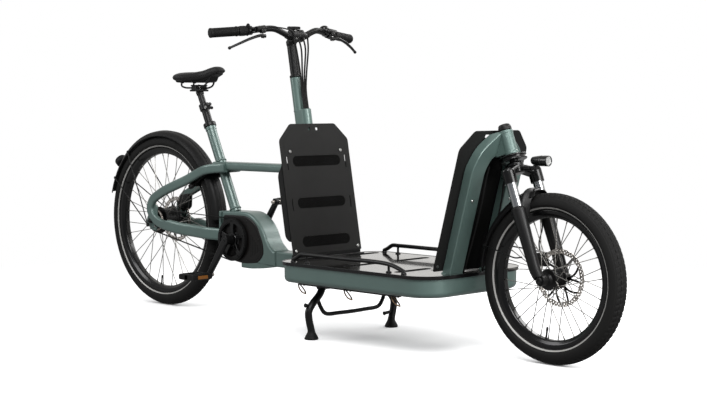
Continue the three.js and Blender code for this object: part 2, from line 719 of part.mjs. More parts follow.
function deckPanelGeometry() {
  const panel = slabZ(deckPlan(DECK.half, 0), DECK.top - DECK.thick, DECK.top, 4);
  const slots = [];
  for (const x of [985, 1230, 1465]) {
    for (const side of [-1, 1]) {
      const across = stadium(side * 123, x, 81, 16);
      const tool = slabZ(across, DECK.top - 5, DECK.top + 5, 3);
      slots.push(tool.applyMatrix4(new THREE.Matrix4().makeBasis(vec(0, 1, 0), vec(1, 0, 0), vec(0, 0, 1))));
    }
  }
  const cableHoles = [-1, 1].map((side) => block(1590, 1630, side * 46 - 7, side * 46 + 7, 200, 300));
  return cut(panel, ...slots, ...cableHoles);
}

function tubGeometry() {
  const outer = slabZ(deckPlan(TUB.half, 4), TUB.bottom, TUB.top + 14, 4, 14);
  const trim = block(800, 1800, -300, 300, TUB.top, TUB.top + 40);
  const inner = slabZ(deckPlan(TUB.half - TUB.wall, 4 + TUB.wall), TUB.bottom + TUB.wall, TUB.top + 20, 3);
  const beamWay = block(900, 950, -BEAM.half - 8, BEAM.half + 8, TUB.bottom + TUB.wall + 1, TUB.top + 30);
  return cut(outer, trim, inner, beamWay);
}

function sideRailGeometry(side) {
  const y = side * RAIL.y;
  const low = DECK.top + RAIL.radius + 1;
  const tube = pipe([
    vec(998, y, low), vec(1016, y, low + 8), vec(1040, y, RAIL.height - 1), vec(1070, y, RAIL.height),
    vec(1240, y, RAIL.height), vec(1420, y, RAIL.height), vec(1462, y, RAIL.height - 4),
    vec(1496, y, low + 9), vec(1520, y, low),
  ], RAIL.radius, 14, 6);
  const feet = [1000, 1518].map((x) => rod(vec(x, y, DECK.top + GAP), vec(x, y, low), 9, 8));
  const posts = [1075, 1440].map((x) => rod(vec(x, y, DECK.top + GAP), vec(x, y, RAIL.height), 4, 6));
  const collars = [1075, 1440].map((x) => rod(vec(x, y, DECK.top + GAP), vec(x, y, DECK.top + 4), 9, 8));
  return join(tube, ...feet, ...posts, ...collars);
}

function tieDownGeometry(side) {
  const strip = block(1030, 1505, 219, 231, TUB.bottom - 4.3, TUB.bottom - GAP);
  const loops = [1040, 1262, 1478].map((x) => pipe([
    vec(x - 8, 225, TUB.bottom - 3), vec(x + 6, 229, 176), vec(x + 22, 233, 167), vec(x + 26, 231, 170),
    vec(x + 18, 228, 180), vec(x + 12, 225, TUB.bottom - 3),
  ], 2.2, 7, 4));
  const strap = join(strip, ...loops);
  return side > 0 ? strap : mirrored(strap);
}

// ---- boards -------------------------------------------------------------------------------------
function rearBoardGeometry() {
  const edge = bothSides([[BOARD.half, 3, 4], [BOARD.half, 407, 10], [108, 464, 8]]);
  const front = BOARD.back + BOARD.thick;
  const sheet = slabX(outline(edge), BOARD.back, front, 3);
  const cuts = [];
  for (const z of [47, 183, 331]) cuts.push(slabX(stadium(0, z, 115, 19), front - 1.5, front + 5, 2));
  for (const y of [-18, 18]) cuts.push(slabX(stadium(y, 445, 6, 5.9), 0, 100, 2));
  for (const [low, high] of [[158, 200], [302, 348]]) {
    for (const side of [-1, 1]) cuts.push(block(0, 100, side * 140 - 1.5, side * 140 + 1.5, low, high));
  }
  const bolts = [[122, 366], [150, 16.7]].flatMap(([y, z]) => [-1, 1].map((side) => {
    return rod(vec(front - 1, side * y, z), vec(front + 3, side * y, z), 6, 6);
  }));
  return join(cut(sheet, ...cuts), ...bolts);
}

function batteryGeometry() {
  const front = BOARD.back - GAP;
  const side = outline([[front, 50, 4], [36, 52, 4], [20, 70, 10], [20, 290, 10], [front, 328, 4]]);
  const body = slabY(side, -163, 163, 3);
  const notch = block(0, HOUSING_FRONT + GAP, -COLUMN_RADIUS - 0.7, COLUMN_RADIUS + 0.7, 0, 400);
  return cut(body, notch);
}

function frontBoardGeometry() {
  const edge = bothSides([[FRONT_BOARD.half, 8, 8], [FRONT_BOARD.half, 409, 12], [107, 468, 10]]);
  const sheet = slabX(outline(edge), -BOARD.thick, 0, 3);
  const slot = slabX(stadium(0, 450, 57, 5.5), -20, 20, 4);
  const brackets = [-1, 1].map((side) => block(-14, -2, side * 150 - 12, side * 150 + 12, 10, 34));
  return join(cut(sheet, slot), ...brackets);
}

// ---- front frame --------------------------------------------------------------------------------
function frontFrameGeometry() {
  const arch = outline([
    [-122, 0.5, 0], [-60, 0.5, 0], [-60, 350, 30], [-34, 396, 30], [34, 396, 30], [60, 350, 30],
    [60, 0.5, 0], [122, 0.5, 0], [122, 350, 20], [96, 412, 30], [46, 452, 30], [24, 470, 6],
    [-24, 470, 6], [-46, 452, 30], [-96, 412, 30], [-122, 350, 20],
  ]);
  const portal = slabX(arch, GAP, 33, 3);
  const nose = outline([[GAP, 398, 0], [30, 388, 0], [66, 410, 0], [52, 468, 0], [GAP, 470, 0]]);
  const web = slabY(nose, -20, 20, 2);
  const frame = { x: FRONT_BOARD.x, z: FRONT_BOARD.z, lean: -FRONT_LEAN };
  const leaning = leant(join(portal, web), frame);
  const head = leant(rod(vec(0, 0, 0.5), vec(0, 0, HEAD_LENGTH), HEAD_RADIUS, 16), STEER);
  const bore = leant(rod(vec(0, 0, -20), vec(0, 0, HEAD_LENGTH + 20), 15, 12), STEER);
  const under = leant(rod(vec(0, 0, -60), vec(0, 0, 0.5), 60, 24), STEER);
  const over = leant(rod(vec(0, 0, HEAD_LENGTH), vec(0, 0, HEAD_LENGTH + 60), 60, 24), STEER);
  const deck = block(1500, 1800, -200, 200, 200, DECK.top + GAP);
  return cut(join(leaning, head), bore, under, over, deck);
}

// ---- fork ---------------------------------------------------------------------------------------
function forkCrownGeometry() {
  const steerer = rod(vec(0, 0, -43), vec(0, 0, HEAD_LENGTH + 18), 14, 12);
  const cap = rod(vec(0, 0, HEAD_LENGTH + 1), vec(0, 0, HEAD_LENGTH + 21), 20.5, 12);
  const centre = rod(vec(0, 0, -62), vec(0, 0, -24), 27, 12);
  const sides = [-1, 1].flatMap((side) => [
    rod(vec(0, 0, -44), vec(LEG_X, side * LEG_Y, -66), 17, 8),
    rod(vec(LEG_X, side * LEG_Y, -96), vec(LEG_X, side * LEG_Y, -52), 21, 12),
    rod(vec(LEG_X, side * LEG_Y, -300), vec(LEG_X, side * LEG_Y, -54), STANCHION_RADIUS, 12),
  ]);
  // The lamp hangs between two ears at the end of an arm.
  const arm = rod(vec(18, 0, -40), vec(64, 0, -60), 6, 6);
  const bridge = block(60, 67, -13, 13, -71, -57);
  const ears = [-13, 9.6].map((y) => block(60, 82, y, y + 3.4, -71, -60));
  return join(steerer, cap, centre, arm, bridge, ...ears, ...sides);
}

function forkPulleyGeometry() {
  return cut(cablePulley(-20, 44, 16), rod(vec(0, 0, -30), vec(0, 0, 10), 14.4, 20));
}

// In the fork's frame: the front axle, and the brace that ties the lower legs over the tyre.
const AXLE = { x: 25.3, z: -407.2 };
const BRACE = { x: 48, z: -108 };

function forkLowersGeometry() {
  const legs = [-1, 1].flatMap((side) => {
    const y = side * LEG_Y;
    return [
      rod(vec(LEG_X, y, -390), vec(LEG_X, y, -178), LOWER_RADIUS, 12),
      rod(vec(LEG_X, y, -385), vec(AXLE.x, side * 60, AXLE.z), 17, 8),
      crossRod(AXLE.x, AXLE.z, side * 43, side * 68, 17, 12),
      rod(vec(LEG_X + 14, side * (LEG_Y - 10), -205), vec(BRACE.x, side * 44, BRACE.z), 10, 6),
    ];
  });
  const brace = rod(vec(BRACE.x, -50, BRACE.z), vec(BRACE.x, 50, BRACE.z), 10, 6);
  const bores = [-1, 1].map((side) => {
    const y = side * LEG_Y;
    return rod(vec(LEG_X, y, -345), vec(LEG_X, y, -100), STANCHION_RADIUS + GAP, 12);
  });
  const axleHole = crossRod(AXLE.x, AXLE.z, -90, 90, AXLE_RADIUS + GAP);
  const headRoom = crossRod(AXLE.x, AXLE.z, -100, -68, 12.5);
  return cut(join(...legs, brace), ...bores, axleHole, headRoom);
}

function frontAxleGeometry() {
  const head = crossRod(AXLE.x, AXLE.z, -75, -68 - GAP, 11, 12);
  return join(crossRod(AXLE.x, AXLE.z, -72, 72, AXLE_RADIUS, 12), head);
}

function frontCaliperGeometry() {
  const body = outline([[-44, -346, 5], [-8, -362, 5], [-8, -316, 5], [-40, -308, 5]]);
  const slot = block(-60, 0, FRONT_ROTOR_Y - 2.6, FRONT_ROTOR_Y + 2.6, -400, -318);
  return cut(slabY(body, 26, 47, 2), slot);
}

function frontFenderGeometry() {
  const strip = fenderStrip(282, 34, 97, 176);
  const wires = [];
  for (const side of [-1, 1]) {
    const hold = vec(-74, side * 90, 66);
    wires.push(wire(onCircle(267, 160, side * 32), hold), wire(hold, vec(-50, side * 90, 70)));
  }
  return join(strip, ...wires);
}

// ---- lamp ---------------------------------------------------------------------------------------
const LAMP = { x: 1866, z: 603 };

function headlampGeometry() {
  const shell = rod(vec(-14, 0, 19), vec(20, 0, 19), 12, 16, 16.5);
  const bezel = rod(vec(20, 0, 19), vec(50, 0, 19), 16.5, 16);
  const foot = crossRod(0, 0, -9, 9, 6, 10);
  const neck = block(-5, 5, -9, 9, 0, 12);
  return join(shell, bezel, foot, neck);
}

// ---- kickstand ----------------------------------------------------------------------------------
function kickstandGeometry() {
  const { x, z, plane } = KICKSTAND;
  const sides = [-1, 1].flatMap((side) => [
    pipe([
      vec(x, side * 128, z), vec(plane - 4, side * 152, 150), vec(plane, side * 190, 120),
      vec(plane, side * 207, 96), vec(plane, side * 206, 70), vec(plane, side * 196, 30),
      vec(plane, side * 195, 12),
    ], 10, 10, 6),
    rod(vec(plane, side * 195, 0), vec(plane, side * 195, 34), 24, 10, 12),
    rod(vec(x, side * 112, z), vec(x, side * 150, z), 13, 10),
  ]);
  const bar = pipe([
    vec(plane - 2, -166, 138), vec(plane, -150, 104), vec(plane, -130, 83), vec(plane, -60, 78),
    vec(plane, 60, 78), vec(plane, 130, 83), vec(plane, 150, 104), vec(plane - 2, 166, 138),
  ], 6, 14, 5);
  const pegs = [
    rod(vec(plane, -200, 114), vec(plane - 2, -219, 118), 5, 6),
    rod(vec(plane, 196, 56), vec(plane - 4, 164, 52), 5, 6),
  ];
  return join(...sides, bar, ...pegs);
}

function kickstandBracketGeometry() {
  const { x, z } = KICKSTAND;
  const plate = block(x - 40, x + 40, -111, 111, TUB.bottom - 5, TUB.bottom - GAP);
  const ears = [-1, 1].map((side) => {
    const low = side > 0 ? 101 : -111;
    const ear = outline([[x - 30, 189, 0], [x - 14, 164, 8], [x + 14, 164, 8], [x + 30, 189, 0]]);
    return slabY(ear, low, low + 10, 3);
  });
  const pin = crossRod(x, z, -111, 111, 7);
  return join(plate, ...ears, pin);
}

// ---- assembly -----------------------------------------------------------------------------------
function addRearEnd(bike) {
  piece(bike, 'rear_frame', rearFrameGeometry(), paint);
  piece(bike, 'motor_unit', motorGeometry(), plastic);
  piece(bike, 'drive_belt', beltGeometry(), rubber);
  piece(bike, 'lower_seatpost', lowerPostGeometry(), blackMetal);
  piece(bike, 'seatpost', seatpostGeometry(), blackMetal);
  piece(bike, 'saddle', saddleGeometry(), rubber);
  piece(bike, 'rear_brake_caliper', rearCaliperGeometry(), blackMetal);
  piece(bike, 'ring_lock', ringLockGeometry(), plastic);
  const lever = piece(bike, 'seat_lever', seatLeverGeometry(), blackMetal);
  lever.position.copy(seatPoint(COLLAR)).add(vec(LEVER_X, 0, 0));
  const hub = placed(bike, REAR.x, REAR.radius);
  piece(hub, 'rear_fender', rearFenderGeometry(), plastic);
  piece(hub, 'rear_light', rearLightGeometry(), redLens);
  piece(hub, 'rear_axle', crossRod(0, 0, -82, 82, AXLE_RADIUS, 12), steel);
  piece(hub, 'rear_sprocket', pulleyGeometry(SPROCKET_RADIUS, 24 + GAP, 6), blackMetal);
  const cranks = placed(bike, CRANK.x, CRANK.z);
  piece(cranks, 'belt_pulley', pulleyGeometry(PULLEY_RADIUS, 12 + GAP, 5), blackMetal);
  piece(cranks, 'right_crank', rightCrankGeometry(), blackMetal);
  piece(cranks, 'left_crank', crankGeometry(1), blackMetal);
  for (const [name, side] of [['right_pedal', -1], ['left_pedal', 1]]) {
    const pedal = piece(cranks, name, pedalGeometry(side), plastic);
    const reach = side * CRANK.length;
    pedal.position.set(reach * cos(CRANK.angle), 0, reach * sin(CRANK.angle));
  }
}

function addColumn(bike) {
  piece(bike, 'steering_column', columnGeometry(), paint);
  const column = placed(bike, COLUMN.x, COLUMN.z, COLUMN.lean);
  piece(column, 'steering_shaft', steeringShaftGeometry(), blackMetal);
  piece(column, 'stem', stemGeometry(), blackMetal);
  piece(column, 'handlebar', handlebarGeometry(), blackMetal);
  piece(column, 'right_grip', gripGeometry(0.36, -1), rubber);
  piece(column, 'left_grip', gripGeometry(0.14, 1), rubber);
  piece(column, 'gear_twist_shifter', barSleeve(0.14, 0.34, 18, -1), plastic);
  piece(column, 'right_brake_perch', brakePerchGeometry(-1), blackMetal);
  piece(column, 'left_brake_perch', brakePerchGeometry(1), blackMetal);
  piece(column, 'right_brake_lever', brakeLeverGeometry(-1), blackMetal);
  piece(column, 'left_brake_lever', brakeLeverGeometry(1), blackMetal);
  piece(column, 'display', displayGeometry(), plastic);
  piece(column, 'control_cables', controlCablesGeometry(), rubber);
  piece(column, 'rear_board', rearBoardGeometry(), boardBlack);
  piece(column, 'battery_case', batteryGeometry(), plastic);
}

function addDeck(bike) {
  piece(bike, 'chassis_beam', beamGeometry(), paint);
  piece(bike, 'deck_tub', tubGeometry(), paint);
  piece(bike, 'deck_panel', deckPanelGeometry(), gloss);
  piece(bike, 'right_side_rail', sideRailGeometry(-1), blackMetal);
  piece(bike, 'left_side_rail', sideRailGeometry(1), blackMetal);
  piece(bike, 'right_tie_down_loops', tieDownGeometry(-1), bronze);
  piece(bike, 'left_tie_down_loops', tieDownGeometry(1), bronze);
  piece(bike, 'front_frame', frontFrameGeometry(), paint);
  piece(bike, 'steering_cables', steeringCablesGeometry(), rubber);
  piece(bike, 'kickstand', kickstandGeometry(), blackMetal);
  piece(bike, 'kickstand_bracket', kickstandBracketGeometry(), blackMetal);
  const board = placed(bike, FRONT_BOARD.x, FRONT_BOARD.z, -FRONT_LEAN);
  piece(board, 'front_board', frontBoardGeometry(), boardBlack);
}

function addFork(bike) {
  const fork = placed(bike, STEER.x, STEER.z, STEER.lean);
  piece(fork, 'fork_crown_and_stanchions', forkCrownGeometry(), chrome);
  piece(fork, 'fork_cable_pulley', forkPulleyGeometry(), blackMetal);
  piece(fork, 'fork_lowers', forkLowersGeometry(), blackMetal);
  piece(fork, 'front_axle', frontAxleGeometry(), steel);
  piece(fork, 'front_brake_caliper', frontCaliperGeometry(), blackMetal);
  const axle = placed(bike, FRONT.x, FRONT.radius);
  piece(axle, 'front_fender', frontFenderGeometry(), plastic);
  const lamp = placed(bike, LAMP.x, LAMP.z);
  piece(lamp, 'headlamp', headlampGeometry(), lens);
}

const bicycle = new THREE.Group();
addWheel(bicycle, 'rear', REAR, REAR_HUB, REAR_ROTOR_Y);
addWheel(bicycle, 'front', FRONT, FRONT_HUB, FRONT_ROTOR_Y);
addRearEnd(bicycle);
addColumn(bicycle);
addDeck(bicycle);
addFork(bicycle);

// The footprint runs from the rear fender's tail to the front of the front tyre.
const extent = new THREE.Box3().setFromObject(bicycle, true);
bicycle.position.x = -(extent.min.x + extent.max.x) / 2;

export default bicycle;
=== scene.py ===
"""Looks of a front-loading cargo bicycle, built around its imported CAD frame.

Every shape is drawn in millimetres from the point on the ground below the rear axle (x forward, y to the
rider's left, z up), or in the leaning frame of the steering column or the fork, and then placed in the row
frame, in metres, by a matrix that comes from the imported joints.
"""

import json
import math
from types import SimpleNamespace

import bmesh
import bpy
import numpy as np
from mathutils import Matrix, Vector


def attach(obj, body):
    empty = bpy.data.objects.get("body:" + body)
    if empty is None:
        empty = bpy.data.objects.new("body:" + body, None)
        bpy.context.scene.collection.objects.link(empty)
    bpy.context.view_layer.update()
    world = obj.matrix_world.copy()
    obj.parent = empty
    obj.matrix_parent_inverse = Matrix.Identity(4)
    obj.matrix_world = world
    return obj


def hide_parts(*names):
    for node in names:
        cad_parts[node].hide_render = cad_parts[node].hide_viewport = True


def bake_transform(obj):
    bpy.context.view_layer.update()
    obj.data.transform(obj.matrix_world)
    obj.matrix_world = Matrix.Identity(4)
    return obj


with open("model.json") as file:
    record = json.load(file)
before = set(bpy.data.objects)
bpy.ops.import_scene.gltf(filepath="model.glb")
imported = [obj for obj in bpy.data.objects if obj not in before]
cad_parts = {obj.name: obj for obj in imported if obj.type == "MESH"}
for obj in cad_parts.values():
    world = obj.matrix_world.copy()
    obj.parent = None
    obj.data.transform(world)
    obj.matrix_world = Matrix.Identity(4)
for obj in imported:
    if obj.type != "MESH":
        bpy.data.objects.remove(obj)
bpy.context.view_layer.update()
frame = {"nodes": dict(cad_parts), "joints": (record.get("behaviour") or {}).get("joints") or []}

# ---- frames of reference --------------------------------------------------------------------------
JOINTS = {joint["name"]: joint for joint in frame["joints"]}
MM = 0.001


def in_mm(point):
    """A point of the row frame as millimetres in the drawing."""
    return np.array([(point[0] - REAR_X) / MM, point[1] / MM, point[2] / MM])


def leaning(joint):
    """The drawing frame that stands on a joint's point with its z along the joint's axis."""
    z = Vector(JOINTS[joint]["axis"]).normalized()
    y = Vector((0, 1, 0))
    x = y.cross(z)
    turn = Matrix((x, y, z)).transposed().to_4x4()
    return Matrix.Translation(JOINTS[joint]["pos_m"]) @ turn @ Matrix.Scale(MM, 4)


REAR_X = JOINTS["rear_wheel_spin"]["pos_m"][0]
BIKE = Matrix.Translation((REAR_X, 0, 0)) @ Matrix.Scale(MM, 4)
COLUMN = leaning("handlebar_steer")
FORK = leaning("fork_steer")
REAR_AXLE = in_mm(JOINTS["rear_wheel_spin"]["pos_m"])
FRONT_AXLE = in_mm(JOINTS["front_wheel_spin"]["pos_m"])
CRANK = in_mm(JOINTS["crank_spin"]["pos_m"])


def at(point):
    """The drawing frame with its origin moved to a point in it."""
    return BIKE @ Matrix.Translation(Vector(point))


# ---- shapes: each is (vertices, faces) ------------------------------------------------------------
AXES = {
    "x": np.array([[0, 1, 0], [0, 0, 1], [1, 0, 0]], float),
    "y": np.array([[1, 0, 0], [0, 0, 1], [0, 1, 0]], float),
    "z": np.array([[1, 0, 0], [0, 1, 0], [0, 0, 1]], float)
}


def loft(rings, closed=False):
    """Joins equal rings of points with quads; an open stack of rings gets a cap at each end."""
    rings = np.asarray(rings, float)
    count, size = rings.shape[:2]
    faces = []
    for i in range(count if closed else count - 1):
        here, there = i * size, ((i + 1) % count) * size
        for j in range(size):
            k = (j + 1) % size
            faces.append((here + j, here + k, there + k, there + j))
    if not closed:
        faces.append(tuple(range(size)))
        faces.append(tuple(range((count - 1) * size, count * size)))
    return rings.reshape(-1, 3), faces


def merged(*forms):
    vertices, faces, start = [], [], 0
    for points, polygons in forms:
        vertices.append(points)
        faces.extend(tuple(start + i for i in polygon) for polygon in polygons)
        start += len(points)
    return np.vstack(vertices), faces


def moved(form, matrix):
    points, faces = form
    grid = np.array(matrix)
    return points @ grid[:3, :3].T + grid[:3, 3], faces


def shifted(form, x=0.0, y=0.0, z=0.0):
    return form[0] + np.array([x, y, z]), form[1]


def mirrored(form):
    return form[0] * np.array([1, -1, 1]), form[1]


def both(form):
    """A shape and its reflection on the other side of the bicycle."""
    return merged(form, mirrored(form))


def aim(start, end):
    """A matrix whose origin is start and whose z points to end."""
    start, end = Vector(start), Vector(end)
    turn = (end - start).normalized().to_track_quat("Z", "Y").to_matrix().to_4x4()
    return Matrix.Translation(start) @ turn


def rounded(corners, steps=6):
    """A closed outline from corners (a, b, radius), or (a, b) for a sharp one."""
    points = []
    for i, corner in enumerate(corners):
        here = np.array(corner[:2], float)
        radius = corner[2] if len(corner) > 2 else 0
        before = np.array(corners[i - 1][:2]) - here
        after = np.array(corners[(i + 1) % len(corners)][:2]) - here
        reach = min(radius, 0.48 * np.linalg.norm(before), 0.48 * np.linalg.norm(after))
        if reach < 0.05:
            points.append(here)
            continue
        start = here + before / np.linalg.norm(before) * reach
        end = here + after / np.linalg.norm(after) * reach
        for t in np.linspace(0, 1, steps + 1):
            points.append((1 - t) ** 2 * start + 2 * t * (1 - t) * here + t * t * end)
    return np.array(points)


def two_sided(corners):
    """The corners, then their reflection in the first coordinate."""
    return list(corners) + [(-c[0],) + tuple(c[1:]) for c in reversed(corners)]


def rectangle(half_a, half_b, radius, steps=6):
    """A rounded rectangle around the origin."""
    corners = [(-half_a, -half_b), (half_a, -half_b), (half_a, half_b), (-half_a, half_b)]
    return rounded([(a, b, radius) for a, b in corners], steps)


def stadium(a, b, half_length, radius, steps=14):
    """A slot with round ends, lying along the first coordinate."""
    reach = half_length - radius
    turn = np.linspace(-math.pi / 2, math.pi / 2, steps)
    right = np.c_[a + reach + radius * np.cos(turn), b + radius * np.sin(turn)]
    left = np.c_[a - reach - radius * np.cos(turn), b - radius * np.sin(turn)]
    return np.vstack([right, left])


def around(count):
    """Equal steps of a full turn, in radians."""
    return np.linspace(0, 2 * math.pi, count, endpoint=False)


def span_y(side, near, far):
    """The low and high y of a stretch on one side, from its distances to the middle plane."""
    return sorted((side * near, side * far))


def circle(radius, count=48, centre=(0, 0)):
    turn = around(count)
    return np.c_[centre[0] + radius * np.cos(turn), centre[1] + radius * np.sin(turn)]


def inset(shape, depth):
    """The outline moved inwards by depth."""
    before = shape - np.roll(shape, 1, 0)
    after = np.roll(shape, -1, 0) - shape
    area = np.sum(shape[:, 0] * np.roll(shape[:, 1], -1) - np.roll(shape[:, 0], -1) * shape[:, 1])
    sign = 1 if area > 0 else -1
    normals = []
    for edge in (before, after):
        length = np.linalg.norm(edge, axis=1, keepdims=True)
        edge = edge / np.maximum(length, 1e-9)
        normals.append(np.c_[-edge[:, 1], edge[:, 0]] * sign)
    middle = normals[0] + normals[1]
    middle /= np.maximum(np.linalg.norm(middle, axis=1, keepdims=True), 1e-9)
    slope = np.maximum(np.sum(middle * normals[0], axis=1, keepdims=True), 0.5)
    return shape + middle * depth / slope


def prism(shape, low, high, axis="y", edge=1.5, steps=3):
    """An outline raised from low to high, with its two rims rounded; edge may be (low rim, high rim)."""
    shape = np.asarray(shape, float)
    low_edge, high_edge = edge if isinstance(edge, tuple) else (edge, edge)
    layers = []
    for k in range(steps + 1):
        turn = math.pi / 2 * k / steps
        layers.append((low_edge * (1 - math.sin(turn)), low + low_edge * (1 - math.cos(turn))))
    for k in range(steps, -1, -1):
        turn = math.pi / 2 * k / steps
        layers.append((high_edge * (1 - math.sin(turn)), high - high_edge * (1 - math.cos(turn))))
    rings = []
    for depth, height in layers:
        flat = inset(shape, depth) if depth > 1e-6 else shape
        rings.append(np.c_[flat, np.full(len(flat), height)] @ AXES[axis])
    return loft(rings)


def turned(profile, axis="z", sides=48, closed=False):
    """A profile of (radius, height) turned about an axis; a closed profile makes a ring."""
    turn = around(sides)
    rings = []
    for radius, height in profile:
        radius = max(radius, 0.01)
        flat = np.c_[radius * np.cos(turn), radius * np.sin(turn), np.full(sides, height)]
        rings.append(flat @ AXES[axis])
    return loft(rings, closed)


def softened(profile, radius=1.0, steps=3):
    """A lathe profile with its inner corners rounded."""
    points = [tuple(profile[0])]
    for i in range(1, len(profile) - 1):
        here = np.array(profile[i], float)
        before, after = np.array(profile[i - 1]) - here, np.array(profile[i + 1]) - here
        reach = min(radius, 0.45 * np.linalg.norm(before), 0.45 * np.linalg.norm(after))
        start = here + before / max(np.linalg.norm(before), 1e-9) * reach
        end = here + after / max(np.linalg.norm(after), 1e-9) * reach
        for t in np.linspace(0, 1, steps + 1):
            points.append(tuple((1 - t) ** 2 * start + 2 * t * (1 - t) * here + t * t * end))
    points.append(tuple(profile[-1]))
    return points


def rod(start, end, radius, end_radius=None, edge=0.8, sides=32):
    """A round bar between two points with its end rims rounded."""
    end_radius = radius if end_radius is None else end_radius
    length = (Vector(end) - Vector(start)).length
    profile = [
        (radius - edge, 0), (radius - 0.3 * edge, 0.3 * edge), (radius, edge),
        (end_radius, length - edge), (end_radius - 0.3 * edge, length - 0.3 * edge),
        (end_radius - edge, length)
    ]
    return moved(turned(profile, "z", sides), aim(start, end))


def lathed(start, end, profile, sides=32):
    """A (radius, height) profile turned about the line from start to end, heights from start."""
    return moved(turned(profile, "z", sides), aim(start, end))


def cross_rod(x, z, low, high, radius, edge=0.8, sides=32):
    return rod((x, low, z), (x, high, z), radius, edge=edge, sides=sides)


def smooth_path(points, spacing=6.0):
    """A centripetal Catmull-Rom curve through the points, sampled at even steps."""
    p = [np.array(point, float) for point in points]
    p = [2 * p[0] - p[1]] + p + [2 * p[-1] - p[-2]]
    samples = []
    for a, b, c, d in zip(p, p[1:], p[2:], p[3:]):
        gaps = [max(math.sqrt(np.linalg.norm(v - u)), 1e-4) for u, v in ((a, b), (b, c), (c, d))]
        leave = ((b - a) / gaps[0] - (c - a) / (gaps[0] + gaps[1]) + (c - b) / gaps[1]) * gaps[1]
        arrive = ((c - b) / gaps[1] - (d - b) / (gaps[1] + gaps[2]) + (d - c) / gaps[2]) * gaps[1]
        for t in np.linspace(0, 1, 24, endpoint=False):
            h = (2 * t**3 - 3 * t**2 + 1, t**3 - 2 * t**2 + t, 3 * t**2 - 2 * t**3, t**3 - t**2)
            samples.append(h[0] * b + h[1] * leave + h[2] * c + h[3] * arrive)
    samples.append(p[-2])
    samples = np.array(samples)
    walked = np.r_[0, np.cumsum(np.linalg.norm(np.diff(samples, axis=0), axis=1))]
    stops = np.linspace(0, walked[-1], max(int(walked[-1] / spacing), 4) + 1)
    return np.array([np.interp(stops, walked, samples[:, k]) for k in range(3)]).T


def swept(path, section, side=None):
    """A section (a, b) carried along a path. With side given, b stays along side; else it turns least."""
    path = np.asarray(path, float)
    tangents = np.gradient(path, axis=0)
    tangents /= np.linalg.norm(tangents, axis=1, keepdims=True)
    across = np.array(side if side is not None else (0.13, 1, 0.07), float)
    rings = []
    for i, (point, tangent) in enumerate(zip(path, tangents)):
        across = across - tangent * (across @ tangent)
        across /= np.linalg.norm(across)
        if side is not None:
            across = np.array(side, float)
            across -= tangent * (across @ tangent)
            across /= np.linalg.norm(across)
        normal = np.cross(across, tangent)
        shape = section(i / (len(path) - 1)) if callable(section) else section
        rings.append(point + np.outer(shape[:, 0], normal) + np.outer(shape[:, 1], across))
    return loft(rings)


def pipe(points, radius, spacing=6.0, sides=16, end_radius=None):
    """A round tube along a smooth curve with domed ends."""
    path = smooth_path(points, spacing)
    end_radius = radius if end_radius is None else end_radius
    start_cap = path[0] - (path[1] - path[0]) / np.linalg.norm(path[1] - path[0]) * 0.35 * radius
    end_cap = path[-1] + (path[-1] - path[-2]) / np.linalg.norm(path[-1] - path[-2]) * 0.35 * end_radius
    path = np.vstack([start_cap, path, end_cap])

    def section(t):
        size = radius + (end_radius - radius) * t
        return circle(size * (0.6 if t in (0, 1) else 1), sides)

    return swept(path, section)


def band(outer, inner, low, high, axis="y"):
    """A flat ring between two closed outlines that have the same number of points."""
    rings = []
    for (a, b), (c, d) in zip(outer, inner):
        rings.append(np.array([[a, b, low], [a, b, high], [c, d, high], [c, d, low]]) @ AXES[axis])
    return loft(rings, closed=True)


def box(x0, x1, y0, y1, z0, z1, edge=1.0):
    corners = [(x0, z0), (x1, z0), (x1, z1), (x0, z1)]
    radius = min(edge, 0.45 * (x1 - x0), 0.45 * (z1 - z0))
    return prism(rounded([(a, b, 1.5 * radius) for a, b in corners], 3), y0, y1, "y", edge)


def bolt(point, direction, radius=4.5, height=3.5):
    """A button-head screw with a hexagon socket, standing on a point."""
    point = np.array(point, float)
    direction = np.array(direction, float)
    profile = [
        (radius, 0), (radius, 0.25 * height), (0.9 * radius, 0.65 * height), (0.65 * radius, height),
        (0.5 * radius, height), (0.46 * radius, 0.4 * height), (0.05, 0.35 * height)
    ]
    return lathed(point, point + direction, profile, 24)


def smoothstep(t):
    t = np.clip(t, 0, 1)
    return t * t * (3 - 2 * t)


